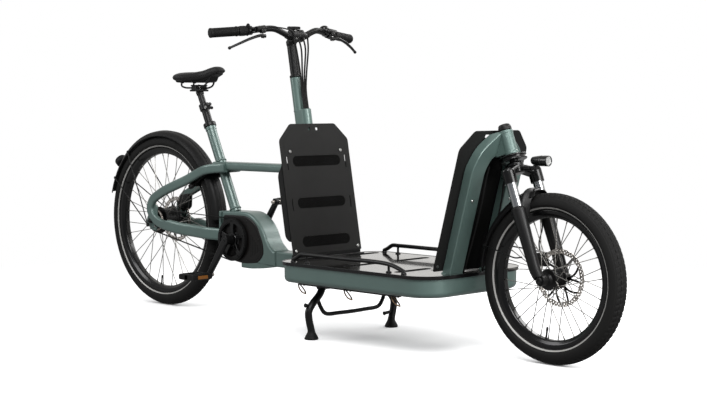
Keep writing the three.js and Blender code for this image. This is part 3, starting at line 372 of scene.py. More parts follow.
# ---- materials ------------------------------------------------------------------------------------
class Shader:
    """A node material built step by step around one Principled surface."""

    def __init__(self, name):
        self.material = bpy.data.materials.new(name)
        self.material.use_nodes = True
        self.nodes = self.material.node_tree.nodes
        self.links = self.material.node_tree.links
        self.surface = next(node for node in self.nodes if node.type == "BSDF_PRINCIPLED")
        self.place = self.add("ShaderNodeTexCoord").outputs["Object"]

    def add(self, kind, **inputs):
        node = self.nodes.new(kind)
        for name, value in inputs.items():
            self.put(node.inputs[name.replace("_", " ")], value)
        return node

    def put(self, socket, value):
        if isinstance(value, bpy.types.NodeSocket):
            self.links.new(value, socket)
        else:
            socket.default_value = value

    def set(self, **inputs):
        for name, value in inputs.items():
            self.put(self.surface.inputs[name.replace("_", " ")], value)

    def noise(self, scale, detail=4.0, stretch=(1, 1, 1)):
        mapping = self.add("ShaderNodeMapping", Vector=self.place, Scale=stretch)
        texture = self.add("ShaderNodeTexNoise", Vector=mapping.outputs[0], Scale=scale, Detail=detail)
        return texture.outputs["Fac"]

    def cells(self, scale, stretch=(1, 1, 1)):
        mapping = self.add("ShaderNodeMapping", Vector=self.place, Scale=stretch)
        texture = self.add("ShaderNodeTexVoronoi", Vector=mapping.outputs[0], Scale=scale)
        return texture.outputs["Distance"]

    def span(self, factor, low, high):
        """Spreads a 0.3 to 0.7 texture value over low to high."""
        node = self.add("ShaderNodeMapRange", Value=factor)
        for name, value in (("From Min", 0.3), ("From Max", 0.7), ("To Min", low), ("To Max", high)):
            node.inputs[name].default_value = value
        return node.outputs[0]

    def blend(self, factor, first, second):
        node = self.add("ShaderNodeMix")
        node.data_type = "RGBA"
        self.put(node.inputs["Factor"], factor)
        self.put(node.inputs[6], first)
        self.put(node.inputs[7], second)
        return node.outputs[2]

    def bump(self, height, depth, strength=1.0, under=None):
        """Bump of a depth in metres, on top of an earlier one."""
        node = self.add("ShaderNodeBump", Height=height, Distance=depth, Strength=strength)
        if under is not None:
            self.links.new(under, node.inputs["Normal"])
        return node.outputs[0]


def shaded(
    name, colour, rough, metal=0.0, vary=0.15, grain=600, depth=0.00006, patch=9, coat=0.0,
    coat_rough=0.08, texture="noise", stretch=(1, 1, 1), specular=0.5
):
    """A surface with uneven colour and gloss in large patches, and a fine grain in colour and relief."""
    shader = Shader(name)
    patches = shader.noise(patch, 5)
    fine = shader.cells(grain, stretch) if texture == "cells" else shader.noise(grain, 3, stretch)
    dark = tuple(c * (1 - vary) for c in colour) + (1,)
    light = tuple(min(c * (1 + vary), 1) for c in colour) + (1,)
    mottled = shader.blend(shader.span(patches, 0.15, 0.85), dark, light)
    speckled = shader.blend(shader.span(fine, 0.0, 0.5), mottled, light)
    shader.set(
        Base_Color=speckled, Metallic=metal, Roughness=shader.span(patches, rough * 0.88, rough * 1.12)
    )
    shader.set(Normal=shader.bump(fine, depth), Specular_IOR_Level=specular)
    if coat:
        ripple = shader.bump(shader.noise(40, 2), 0.00004)
        shader.set(Coat_Weight=coat, Coat_Roughness=coat_rough, Coat_Normal=ripple)
    return shader


def glass_like(name, colour, rough, alpha):
    shader = shaded(name, colour, rough, vary=0.05, grain=900, depth=0.0001, texture="cells")
    shader.set(Transmission_Weight=0.6, IOR=1.49, Alpha=alpha)
    return shader


PAINT = (0.096, 0.148, 0.134)
GREY_BLACK = 0.2
FINISHES = {
    "paint": shaded(
        "frame_paint", PAINT, 0.4, metal=0.35, vary=0.06, grain=2600, depth=0.000003, coat=0.45,
        coat_rough=0.18, texture="cells"
    ),
    "board": shaded(
        "board_powder_coat", (0.0068, 0.0067, 0.0064), 0.6, vary=0.12, grain=1500, depth=0.00005,
        specular=GREY_BLACK
    ),
    "pad": shaded(
        "recess_rubber", (0.0022, 0.0022, 0.0021), 0.85, vary=0.2, grain=2200, depth=0.0002, specular=0.08
    ),
    "black_metal": shaded(
        "satin_black_metal", (0.0052, 0.0052, 0.0053), 0.38, metal=0.1, vary=0.15, grain=1800,
        depth=0.00002, specular=0.3
    ),
    "gloss_black": shaded(
        "gloss_black_metal", (0.0036, 0.0036, 0.0037), 0.2, metal=0.1, vary=0.15, grain=2000,
        depth=0.00001, coat=0.15, specular=0.35
    ),
    "plastic": shaded(
        "grained_black_plastic", (0.0052, 0.0052, 0.0052), 0.5, vary=0.12, grain=1300, depth=0.00006,
        texture="cells", specular=GREY_BLACK
    ),
    "motor": shaded(
        "motor_cover_plastic", (0.0055, 0.0048, 0.0045), 0.34, vary=0.12, grain=1500, depth=0.00002,
        specular=0.25
    ),
    "deck": shaded(
        "deck_film", (0.010, 0.0085, 0.007), 0.16, vary=0.12, grain=500, depth=0.00001, coat=1.0,
        coat_rough=0.05, specular=0.6
    ),
    "rubber": shaded(
        "black_rubber", (0.0036, 0.0036, 0.0035), 0.62, vary=0.15, grain=1500, depth=0.0001,
        specular=GREY_BLACK
    ),
    "tyre": shaded(
        "tyre_rubber", (0.0066, 0.0065, 0.0063), 0.75, vary=0.22, grain=1100, depth=0.00012, patch=14,
        specular=GREY_BLACK
    ),
    "stripe": shaded(
        "reflective_stripe", (0.36, 0.355, 0.34), 0.5, metal=0.3, vary=0.12, grain=2500, depth=0.00003,
        texture="cells"
    ),
    "spoke_steel": shaded(
        "spoke_steel", (0.26, 0.25, 0.235), 0.34, metal=0.9, vary=0.1, grain=2600, depth=0.00001
    ),
    "steel": shaded(
        "brushed_steel", (0.50, 0.46, 0.42), 0.32, metal=1.0, vary=0.1, grain=900, depth=0.00002,
        stretch=(1, 6, 1)
    ),
    "zinc": shaded(
        "zinc_plated_steel", (0.42, 0.42, 0.41), 0.3, metal=1.0, vary=0.14, grain=1500, depth=0.00002
    ),
    "chrome": shaded(
        "chrome", (0.50, 0.51, 0.52), 0.15, metal=1.0, vary=0.03, grain=3000, depth=0.0000002,
        stretch=(1, 1, 0.05)
    ),
    "bronze": shaded(
        "bronze_wire", (0.13, 0.085, 0.05), 0.34, metal=0.9, vary=0.2, grain=1200, depth=0.00003
    ),
    "amber": shaded(
        "amber_reflector", (0.24, 0.085, 0.008), 0.3, vary=0.15, grain=420, depth=0.0006, texture="cells"
    ),
    "tail_lens": shaded(
        "tail_lens", (0.10, 0.008, 0.007), 0.2, vary=0.2, grain=420, depth=0.0005, coat=0.6,
        texture="cells"
    ),
    "reflector": shaded(
        "lamp_reflector", (0.88, 0.88, 0.86), 0.12, metal=1.0, vary=0.04, grain=240, depth=0.0006,
        texture="cells"
    ),
    "lens": glass_like("lamp_lens", (0.9, 0.92, 0.93), 0.06, 0.35),
    "screen": shaded(
        "display_glass", (0.008, 0.009, 0.010), 0.08, vary=0.1, grain=2500, depth=0.000003, coat=0.6
    ),
    "brass": shaded(
        "spoke_nipple_brass", (0.2, 0.195, 0.18), 0.32, metal=0.9, vary=0.1, grain=2000, depth=0.00002
    ),
    "thread": shaded("stitching_thread", (0.022, 0.022, 0.021), 0.8, vary=0.25, grain=3500, depth=0.0001)
}


def saddle_cover():
    """Grained vinyl: creased cells at two sizes over soft unevenness, with a faint sheen."""
    shader = Shader("saddle_vinyl")
    patches = shader.noise(28, 5)
    grain = shader.cells(1100)
    creases = shader.noise(420, 6)
    colour = shader.blend(
        shader.span(patches, 0.1, 0.9), (0.0058, 0.0058, 0.0060, 1), (0.0100, 0.0098, 0.0096, 1)
    )
    shader.set(
        Base_Color=colour, Roughness=shader.span(creases, 0.42, 0.56), Sheen_Weight=0.04,
        Specular_IOR_Level=0.22
    )
    shader.set(Normal=shader.bump(grain, 0.00005, under=shader.bump(creases, 0.00007)))
    return shader


FINISHES["vinyl"] = saddle_cover()


# ---- pieces ---------------------------------------------------------------------------------------
def cut_mesh(form, tools):
    """The mesh of a shape with the tools' shapes taken out of it."""
    scene = bpy.context.scene.collection
    objects = []
    for points, faces in (form, merged(*tools)):
        mesh = bpy.data.meshes.new("work")
        mesh.from_pydata(points.tolist(), [], faces)
        turn_out(mesh)
        objects.append(bpy.data.objects.new("work", mesh))
        scene.objects.link(objects[-1])
    body, tool = objects
    modifier = body.modifiers.new("cut", "BOOLEAN")
    modifier.operation = "DIFFERENCE"
    modifier.solver = "EXACT"
    modifier.use_self = True
    modifier.object = tool
    bpy.context.view_layer.update()
    result = bpy.data.meshes.new_from_object(body.evaluated_get(bpy.context.evaluated_depsgraph_get()))
    for item in objects:
        bpy.data.objects.remove(item)
    return result


def turn_out(mesh):
    work = bmesh.new()
    work.from_mesh(mesh)
    bmesh.ops.recalc_face_normals(work, faces=work.faces)
    work.to_mesh(mesh)
    work.free()


def crease(mesh, angle):
    """Smooth shading, with an edge kept sharp where the faces beside it turn by more than the angle."""
    work = bmesh.new()
    work.from_mesh(mesh)
    bmesh.ops.remove_doubles(work, verts=work.verts, dist=1e-7)
    bmesh.ops.dissolve_degenerate(work, edges=work.edges, dist=1e-7)
    for face in work.faces:
        face.smooth = True
    for edge in work.edges:
        edge.smooth = len(edge.link_faces) == 2 and edge.calc_face_angle(0) < angle
    work.to_mesh(mesh)
    work.free()


def make(name, body, finish, *forms, frame_of=BIKE, stands_for=(), cuts=(), sharp=35, smooth=0):
    """A piece from shapes in a drawing frame, riding on a body and standing for CAD nodes."""
    if cuts:
        mesh = cut_mesh(merged(*forms), cuts)
    else:
        mesh = bpy.data.meshes.new(name)
        points, faces = merged(*forms)
        mesh.from_pydata(points.tolist(), [], faces)
        turn_out(mesh)
    mesh.transform(frame_of)
    crease(mesh, math.radians(sharp))
    mesh.materials.clear()
    mesh.materials.append(FINISHES[finish].material)
    piece = bpy.data.objects.new(name, mesh)
    bpy.context.scene.collection.objects.link(piece)
    if smooth:
        modifier = piece.modifiers.new("smooth", "SUBSURF")
        modifier.levels = modifier.render_levels = smooth
    normals = piece.modifiers.new("flat_faces_stay_flat", "WEIGHTED_NORMAL")
    normals.keep_sharp = True
    if isinstance(body, str):
        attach(piece, body)
    else:
        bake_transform(piece)
    if stands_for:
        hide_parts(*([stands_for] if isinstance(stands_for, str) else stands_for))
    return piece


# ---- wheels ---------------------------------------------------------------------------------------
TYRE_HALF = 30
TYRE_DEPTH = 54
SPOKE_COUNT = 36
ROTOR_RADIUS = 90
WHEELS = {
    "rear": SimpleNamespace(
        centre=REAR_AXLE, radius=REAR_AXLE[2], rim=264, bead=19, flange=50, flange_y=32, sweep=22,
        half=62, end=24, shell=45, rotor=51
    ),
    "front": SimpleNamespace(
        centre=FRONT_AXLE, radius=FRONT_AXLE[2], rim=187, bead=18, flange=30, flange_y=24, sweep=50,
        half=41.5, end=13, shell=22, rotor=35.5
    )
}


def tread_depth(across, along):
    """How deep the tread is cut, in mm: across in degrees from the crown, along in tread blocks."""
    side = np.sign(across)
    turn = np.abs(across)
    phase = (along + 0.25 * (side + 1) + 0.012 * turn) % 1.0
    cross_cut = smoothstep((0.17 - np.abs(phase - 0.5)) / 0.05)
    centre_groove = smoothstep((1.9 - np.abs(turn - 9.5)) / 0.8)
    shoulder_groove = smoothstep((1.7 - np.abs(turn - 30)) / 0.8)
    in_blocks = smoothstep((turn - 10) / 2) * smoothstep((50 - turn) / 5)
    rib_sipe = smoothstep((0.05 - np.abs(phase - 0.5)) / 0.03) * smoothstep((9 - turn) / 2)
    cut = np.maximum(
        np.maximum(centre_groove, shoulder_groove), np.maximum(cross_cut * in_blocks, rib_sipe)
    )
    bulge_line = 0.5 * smoothstep((1.2 - np.abs(turn - 62)) / 0.6)
    return 1.7 * cut - bulge_line + 0.6 * smoothstep((turn - 50) / 8) * smoothstep((60 - turn) / 4)


def tyre(name, wheel):
    blocks = round(2 * math.pi * wheel.radius / 19)
    steps = blocks * 7
    middle = wheel.radius - TYRE_HALF
    across = np.r_[np.linspace(103.5, 66, 9), np.linspace(62.9, -62.9, 61), np.linspace(-66, -103.5, 9)]
    seat = wheel.radius - TYRE_DEPTH
    rings = []
    for i in range(steps):
        depth = tread_depth(across, np.full(len(across), i / 7))
        radius = middle + (TYRE_HALF - depth) * np.cos(np.radians(across))
        y = (TYRE_HALF - depth) * np.sin(np.radians(across))
        radius = np.r_[seat, seat + 6, radius, seat + 6, seat]
        y = np.r_[wheel.bead - 2, wheel.bead + 3, y, -wheel.bead - 3, 2 - wheel.bead]
        turn = 2 * math.pi * i / steps
        rings.append(np.c_[radius * math.cos(turn), y, radius * math.sin(turn)])
    make(
        f"{name}_tyre_tread", f"{name}_wheel", "tyre", loft(rings, closed=True),
        frame_of=at(wheel.centre), stands_for=f"{name}_tyre", sharp=60
    )
    stripe = []
    shoulder = np.array(
        [middle + TYRE_HALF * math.cos(math.radians(103.5)), TYRE_HALF * math.sin(math.radians(103.5))]
    )
    slope = np.array([seat + 6, wheel.bead + 3]) - shoulder
    outward = np.array([slope[1], -slope[0]]) / np.linalg.norm(slope)
    for along, lift in ((0.52, 0.2), (0.58, 0.45), (0.86, 0.45), (0.92, 0.2)):
        stripe.append(shoulder + slope * along + outward * lift)
    under = [point - outward * 1.1 for point in reversed(stripe)]
    ring = turned(stripe + under, "y", 220, closed=True)
    make(f"{name}_reflective_stripes", f"{name}_wheel", "stripe", both(ring), frame_of=at(wheel.centre))


def spoke_ends(wheel, i):
    side = 1 if i % 2 else -1
    lead = 1 if (i // 2) % 2 else -1
    turn = 2 * math.pi * (i + 0.5) / SPOKE_COUNT
    root = turn + lead * math.radians(wheel.sweep)
    reach = wheel.rim + 2
    start = np.array(
        [wheel.flange * math.cos(root), side * wheel.flange_y + lead * 1.9, wheel.flange * math.sin(root)]
    )
    end = np.array([reach * math.cos(turn), side * 3 + lead * 1.3, reach * math.sin(turn)])
    return start, end, lead


def spokes(name, wheel):
    wires, nipples = [], []
    for i in range(SPOKE_COUNT):
        start, end, lead = spoke_ends(wheel, i)
        along = (end - start) / np.linalg.norm(end - start)
        elbow = start + np.array([0, -lead * 3.6, 0])
        wires.append(pipe([elbow, start - along * 0.4, start + along * 3, end - along * 6], 1.4, 30, 8))
        wires.append(
            rod(elbow + [0, -lead * 0.9, 0], elbow + [0, lead * 0.3, 0], 2.1, edge=0.5, sides=12)
        )
        nipples.append(rod(end - along * 13, end + along * 1.5, 1.9, 2.3, edge=0.5, sides=10))
    place = at(wheel.centre)
    make(f"{name}_spokes", f"{name}_wheel", "spoke_steel", *wires, frame_of=place)
    make(f"{name}_spoke_nipples", f"{name}_wheel", "brass", *nipples, frame_of=place)


def rim(name, wheel):
    outer = wheel.radius - TYRE_DEPTH - 1
    nose = 11
    half = wheel.bead
    section = rounded(
        [
            (wheel.rim, -nose, 5), (outer - 8, -half, 2.5), (outer + 3, -half - 0.5, 1.5),
            (outer + 3, 3 - half, 1), (outer - 5, 5 - half, 2), (outer - 5, half - 5, 2),
            (outer + 3, half - 3, 1), (outer + 3, half + 0.5, 1.5), (outer - 8, half, 2.5),
            (wheel.rim, nose, 5)
        ],
        4
    )
    place = at(wheel.centre)
    make(
        f"{name}_rim", f"{name}_wheel", "gloss_black", turned(section, "y", 160, closed=True),
        frame_of=place, stands_for=f"{name}_rim_and_spokes"
    )
    turn = math.radians(262)
    foot = np.array([(wheel.rim + 1) * math.cos(turn), 0, (wheel.rim + 1) * math.sin(turn)])
    tip = foot * (wheel.rim - 36) / (wheel.rim + 1)
    stem = [(4.2, 0), (4.2, 3), (3, 4), (3, 24), (3.6, 25), (3.6, 35), (2.6, 36.5)]
    make(f"{name}_valve", f"{name}_wheel", "black_metal", lathed(foot, tip, stem, 20), frame_of=place)


def hub(name, wheel):
    w, flange, shell, end = wheel.flange_y, wheel.flange + 3, wheel.shell, wheel.end
    neck = end + 3
    half = [
        (6.8, wheel.half), (end - 2, wheel.half), (end, wheel.half - 2), (end, w + 9), (neck, w + 7),
        (neck + 2, w + 3.2), (flange - 2, w + 2.8), (flange, w + 1.5), (flange, w - 1.5),
        (flange - 2, w - 2.8), (shell + 2, w - 4), (shell, w - 9)
    ]
    middle = [(shell, 12), (shell - 1, 11), (shell - 1, 6), (shell, 5)] if shell > 30 else [(shell, 10)]
    profile = half + middle
    profile = profile + [(r, -y) for r, y in reversed(profile)]
    body = turned(softened(profile, 1.5) + [(6.8, -wheel.half)], "y", 72, closed=True)
    place = at(wheel.centre)
    make(
        f"{name}_hub_shell", f"{name}_wheel", "black_metal", body, frame_of=place,
        stands_for=f"{name}_hub"
    )


def rotor(name, wheel):
    """A vented brake disc: a drilled track on swept arms around a spider with a lock ring."""
    low, high = wheel.rotor - 0.9, wheel.rotor + 0.9
    turn = around(288)
    outer_radius = ROTOR_RADIUS - 0.6 + 0.6 * np.cos(24 * turn)
    inner_radius = ROTOR_RADIUS - 15.5 + 1.3 * np.cos(12 * turn + 0.6)
    outline = [np.c_[r * np.cos(turn), r * np.sin(turn)] for r in (outer_radius, inner_radius)]
    holes = []
    for i in range(48):
        for radius, size, shift in ((ROTOR_RADIUS - 4, 1.9, 0), (ROTOR_RADIUS - 9.5, 2.5, 0.5)):
            angle = 2 * math.pi * (i + shift) / 48
            centre = (radius * math.cos(angle), radius * math.sin(angle))
            holes.append(prism(circle(size, 10, centre), low - 1, high + 1, edge=0.0, steps=1))
    place = at(wheel.centre)
    make(
        f"{name}_rotor_track", f"{name}_wheel", "steel", band(*outline, low, high), frame_of=place,
        cuts=holes, stands_for=f"{name}_brake_rotor"
    )
    inner = wheel.end + 3
    arms = []
    flat = np.array([[-0.85, -3.4], [0.85, -3.4], [0.85, 3.4], [-0.85, 3.4]])[:, ::-1]
    for i in range(6):
        for lead, reach in ((0.5, 76), (-0.12, 77)):
            start = 2 * math.pi * i / 6
            path = []
            for t in np.linspace(0, 1, 12):
                radius = inner + 3 + (reach - inner - 3) * t
                angle = start + lead * t**1.3
                path.append((radius * math.cos(angle), wheel.rotor, radius * math.sin(angle)))
            arms.append(swept(path, flat, side=(0, 1, 0)))
    spider = turned(
        [(wheel.end + 0.4, low), (inner + 8, low), (inner + 8, high), (wheel.end + 0.4, high)], "y", 72,
        closed=True
    )
    teeth = []
    for i in range(20):
        angle = 2 * math.pi * i / 20
        point = np.array(
            [(wheel.end + 3.4) * math.cos(angle), wheel.rotor + 1, (wheel.end + 3.4) * math.sin(angle)]
        )
        teeth.append(rod(point, point + [0, 2.6, 0], 1.2, edge=0.3, sides=8))
    lock = turned(
        [
            (wheel.end + 0.4, high), (wheel.end + 5, high), (wheel.end + 4, high + 3),
            (wheel.end + 0.4, high + 3)
        ],
        "y", 60, closed=True
    )
    make(
        f"{name}_rotor_spider", f"{name}_wheel", "black_metal", spider, lock, *arms, *teeth,
        frame_of=place
    )


def wheels():
    for name, wheel in WHEELS.items():
        tyre(name, wheel)
        rim(name, wheel)
        spokes(name, wheel)
        hub(name, wheel)
        rotor(name, wheel)


wheels()


# ---- rear frame -----------------------------------------------------------------------------------
SEAT_AXIS = np.array(JOINTS["seat_height"]["axis"])
SEAT_TOP = np.array([284, 0, 711])
TOP_TUBE = SimpleNamespace(low=549.5, high=580.5, half=32, front=791)
MOTOR = [
    (408, 384, 12), (548, 386, 30), (600, 357, 20), (634, 292, 30), (640, 245, 25), (606, 213, 20),
    (520, 204, 40), (440, 216, 30), (404, 250, 30), (398, 320, 30)
]
MOTOR_HALF = 43


def seat_point(along):
    return SEAT_TOP + SEAT_AXIS * along


def weld(centre, axis, radius, size=2.4):
    """A bead of weld around a tube, rippled like stacked coins."""
    turn = around(96)
    rings = []
    for angle in turn:
        bead = size * (1 + 0.12 * math.sin(angle * 40))
        rings.append(
            [
                (
                    (radius + bead * math.cos(a)) * math.cos(angle),
                    (radius + bead * math.cos(a)) * math.sin(angle), bead * 1.3 * math.sin(a)
                )
                for a in around(10)
            ]
        )
    centre = np.array(centre, float)
    return moved(loft(rings, closed=True), aim(centre, centre + np.array(axis)))


def stay_offset(x):
    return 74 - 22 * smoothstep((x - 60) / 240) - 20 * smoothstep((x - 300) / 110)


def loop_stay():
    path = smooth_path(
        [
            (412, 0, 560), (310, 0, 548), (205, 0, 506), (60, 0, 450), (10, 0, 421), (-5, 0, 388),
            (14, 0, 356), (62, 0, 332), (150, 0, 318), (240, 0, 312), (330, 0, 308), (412, 0, 306)
        ],
        9
    )
    section = rectangle(18, 10, 9, 5)
    points, faces = swept(path, section, side=(0, 1, 0))
    points[:, 1] += stay_offset(points[:, 0])
    lower = (points[:, 2] < 340) & (points[:, 0] > 60)
    deeper = smoothstep((points[:, 0] - 60) / 60) * 0.3 + 1
    points[lower, 2] = 310 + (points[lower, 2] - 310) * deeper[lower]
    return points, faces


def rear_frame():
    stay = loop_stay()
    axle = REAR_AXLE[2]
    dropout = merged(
        cross_rod(0, axle, 64.5, 75.5, 29, edge=2, sides=64),
        prism(
            rounded([(-14, axle - 34, 8), (30, axle - 40, 10), (36, axle + 62, 14), (-8, axle + 70, 10)]),
            67, 73, edge=1.5
        )
    )
    top = prism(
        rounded([(-32, 549.5, 12), (32, 549.5, 12), (32, 580.5, 12), (-32, 580.5, 12)]), 330,
        TOP_TUBE.front, "x", 2
    )
    seat_tube = rod(seat_point(-352), seat_point(-0.5), 19.5, edge=1.2, sides=64)
    lip = lathed(
        seat_point(-14), seat_point(0), [(19.6, 0), (21.2, 1.5), (21.2, 12.5), (19.8, 14), (15.5, 14)], 64
    )
    joints = [weld(seat_point(s), SEAT_AXIS, r) for s, r in ((-143, 20.2), (-179, 20.2), (-340, 20.4))]
    yoke = box(385, 397, -46, 46, 287, 396, 4)
    make(
        "rear_frame_tubes", "frame", "paint", stay, mirrored(stay), both(dropout), top, seat_tube, lip,
        yoke, *joints, stands_for="rear_frame"
    )
    screws = [
        bolt((x, side * 75.4, z), (0, side, 0), 4.2, 2.6)
        for side in (-1, 1)
        for x, z in ((20, axle + 22), (24, axle - 20))
    ]
    make("dropout_screws", "frame", "zinc", *screws)
    hood = rounded(
        [
            (396, 288, 10), (396, 397, 10), (560, 399, 50), (622, 352, 30), (655, 290, 34),
            (690, 262, 16), (700, 262), (700, 206), (620, 206), (520, 250)
        ],
        8
    )
    room = np.array([(519 + (x - 519) * 1.012, 295 + (z - 295) * 1.016, r) for x, z, r in MOTOR])
    sill = rounded(
        [(508, 190, 6), (560, 189, 20), (640, 196, 30), (699, 206, 1), (699, 228, 1), (508, 222, 1)], 6
    )
    make("motor_casting_sill", "frame", "paint", prism(sill, -39.5, 39.5, "y", 3, 3))
    make(
        "motor_casting", "frame", "paint", prism(hood, -40, 40, "y", 8, 5),
        cuts=[prism(rounded(room, 8), -60, 60, "y", 0, 1)], sharp=30
    )


def motor():
    unit = prism(rounded(MOTOR, 10), -MOTOR_HALF, MOTOR_HALF, "y", 7, 6)
    bore = cross_rod(CRANK[0], CRANK[2], -70, 70, 13, edge=0.1)
    make("motor_housing", "frame", "motor", unit, cuts=[bore], stands_for="motor_unit")
    inner = np.array([(519 + (x - 519) * 0.9, 295 + (z - 295) * 0.88, r) for x, z, r in MOTOR])
    cover = rounded(inner, 8)
    ring_line = band(cover, inset(cover, 2.2), MOTOR_HALF - 1, MOTOR_HALF + 0.5)
    ribs = []
    for i in range(6):
        x = 566 + i * 9
        ribs.append(box(x, x + 3.4, -MOTOR_HALF - 0.8, 1 - MOTOR_HALF, 232 + i * 5, 318 - i * 9, 0.7))
    make("motor_cover_seams", "frame", "plastic", ring_line, mirrored(ring_line), *ribs)
    screws = []
    for x, z in ((430, 366), (545, 364), (610, 300), (606, 232), (430, 238)):
        for side in (-1, 1):
            screws.append(bolt((x, side * (MOTOR_HALF - 0.2), z), (0, side, 0), 4, 1.6))
    make("motor_screws", "frame", "black_metal", *screws)
    collar = turned(
        [
            (14, -MOTOR_HALF - 3), (27, -MOTOR_HALF - 3), (31, -MOTOR_HALF), (31, MOTOR_HALF),
            (27, MOTOR_HALF + 4), (14, MOTOR_HALF + 4)
        ],
        "y", 64, closed=True
    )
    make("motor_bearing_collars", "frame", "gloss_black", collar, frame_of=at(CRANK))


# ---- belt drive and cranks ------------------------------------------------------------------------
BELT_Y = -50.5
BELT_HALF = 4.5
PULLEY = 76.5
SPROCKET = 41.5
PULLEY_TEETH = 44
SPROCKET_TEETH = 24


def tooth(phase):
    """The height of a rounded belt tooth, 0 to 1, over one pitch."""
    return smoothstep((0.27 - np.abs((phase % 1.0) - 0.5)) / 0.14)


def belt():
    run = CRANK - REAR_AXLE
    span = math.hypot(run[0], run[2])
    tilt = math.atan2(run[2], run[0])
    small, large = SPROCKET + 0.8, PULLEY + 0.8
    open_angle = math.acos((small - large) / span)
    back = np.linspace(open_angle, 2 * math.pi - open_angle, 120)
    front = np.linspace(-open_angle, open_angle, 200)
    rear_arc = np.c_[small * np.cos(back), small * np.sin(back)]
    front_arc = np.c_[span + large * np.cos(front), large * np.sin(front)]
    low = np.linspace(rear_arc[-1], front_arc[0], 260)[1:-1]
    high = np.linspace(front_arc[-1], rear_arc[0], 260)[1:-1]
    loop = np.vstack([rear_arc, low, front_arc, high])
    step = np.linalg.norm(np.roll(loop, -1, 0) - loop, axis=1)
    walked = np.r_[0, np.cumsum(step)]
    pitches = round(walked[-1] / 11)
    stops = np.linspace(0, walked[-1], pitches * 8 + 1)[:-1]
    closed_loop = np.vstack([loop, loop[:1]])
    path = np.array([np.interp(stops, walked, closed_loop[:, k]) for k in (0, 1)]).T
    ahead = np.roll(path, -1, 0) - np.roll(path, 1, 0)
    ahead /= np.linalg.norm(ahead, axis=1, keepdims=True)
    out = np.c_[ahead[:, 1], -ahead[:, 0]]
    relief = tooth(np.arange(len(path)) / 8)[:, None]
    outer, inner = path + out * 3.0, path + out * (1.2 - 1.0 * relief)
    turn = Matrix.Rotation(-tilt, 4, "Y")
    make(
        "toothed_belt", "frame", "rubber", moved(band(outer, inner, -BELT_HALF, BELT_HALF), turn),
        frame_of=at(REAR_AXLE + [0, BELT_Y, 0]), stands_for="drive_belt", sharp=50
    )


def toothed_ring(radius, teeth, inner, low, high):
    turn = around(teeth * 8)
    edge = radius - 2.2 + 2.0 * tooth(turn * teeth / (2 * math.pi))
    outer = np.c_[edge * np.cos(turn), edge * np.sin(turn)]
    return band(outer, np.c_[inner * np.cos(turn), inner * np.sin(turn)], low, high)


def pulleys():
    low, high = BELT_Y - 4.3, BELT_Y + 4.3
    arms = []
    for i in range(5):
        angle = 2 * math.pi * i / 5 + 0.3
        points = []
        for t in np.linspace(0, 1, 12):
            width = 11 - 3.5 * math.sin(math.pi * t)
            points.append((18 + 48 * t, width))
        shape = [(r * math.cos(w / r), r * math.sin(w / r)) for r, w in points]
        shape += [(r * math.cos(-w / r), r * math.sin(-w / r)) for r, w in reversed(points)]
        form = prism(np.array(shape), low + 1.2, high - 1.2, "y", 1.2)
        arms.append(moved(form, Matrix.Rotation(-angle, 4, "Y")))
    ring = toothed_ring(PULLEY, PULLEY_TEETH, 62, low, high)
    hub_disc = turned(
        [(12.4, low - 1), (25, low - 1), (27, low + 1), (27, high - 1), (25, high), (12.4, high)], "y",
        64, closed=True
    )
    make(
        "belt_pulley_ring", "cranks", "gloss_black", ring, hub_disc, *arms, frame_of=at(CRANK),
        stands_for="belt_pulley", sharp=45
    )
    guard_low = low - 2.2
    guard = turned(
        [
            (65, guard_low), (76.6, guard_low), (77.6, guard_low + 1), (76.6, guard_low + 2),
            (65, guard_low + 2)
        ],
        "y", 128, closed=True
    )
    screws = [
        bolt((70.5 * math.cos(a), guard_low, 70.5 * math.sin(a)), (0, -1, 0), 3.6, 2)
        for a in (2 * math.pi * i / 5 + 0.3 for i in range(5))
    ]
    make("belt_guard_ring", "cranks", "plastic", guard, *screws, frame_of=at(CRANK))
    sprocket = toothed_ring(SPROCKET, SPROCKET_TEETH, 33, low, high)
    windows = [
        prism(circle(3.2, 20, (29 * math.cos(a), 29 * math.sin(a))), low - 3, high + 3, edge=0.0, steps=1)
        for a in around(8)
    ]
    core = turned([(24.4, low), (36, low), (36, high), (24.4, high)], "y", 64, closed=True)
    make(
        "rear_sprocket_teeth", "rear_sprocket", "steel", sprocket, frame_of=at(REAR_AXLE),
        stands_for="rear_sprocket", sharp=45
    )
    make("rear_sprocket_core", "rear_sprocket", "gloss_black", core, frame_of=at(REAR_AXLE), cuts=windows)


PEDALS = {
    side: in_mm(JOINTS[f"{name}_pedal_spin"]["pos_m"])
    for name, side in (("right", -1), ("left", 1))
}


def crank_arm(name, side):
    tip = PEDALS[side] - CRANK
    length = math.hypot(tip[0], tip[2])
    turn = Matrix.Rotation(-math.atan2(tip[2], tip[0]), 4, "Y")

    def section(t):
        wide, thick = 15.5 - 4.5 * t, 8.2 - 1.2 * t
        return rounded([(-wide, -thick, 6), (wide, -thick, 6), (wide, thick, 6), (-wide, thick, 6)], 4)

    path = [(length * t, side * (82.5 + 1.0 * t), 0) for t in np.linspace(0.0, 1.0, 12)]
    arm = moved(swept(path, section, side=(0, 1, 0)), turn)
    boss = cross_rod(0, 0, *span_y(side, 57, 90.5), 17.8, edge=2)
    eye = cross_rod(tip[0], tip[2], *span_y(side, 74.5, 91.5), 13, edge=2)
    make(
        f"{name}_crank_arm", "cranks", "black_metal", arm, boss, eye, frame_of=at(CRANK),
        stands_for=f"{name}_crank"
    )
    cap = bolt((0, side * 90.2, 0), (0, side, 0), 7, 2.2)
    make(f"{name}_crank_bolt", "cranks", "black_metal", cap, frame_of=at(CRANK))
    if side < 0:
        make("crank_spindle", "cranks", "steel", cross_rod(0, 0, -60, 58, 11.8), frame_of=at(CRANK))


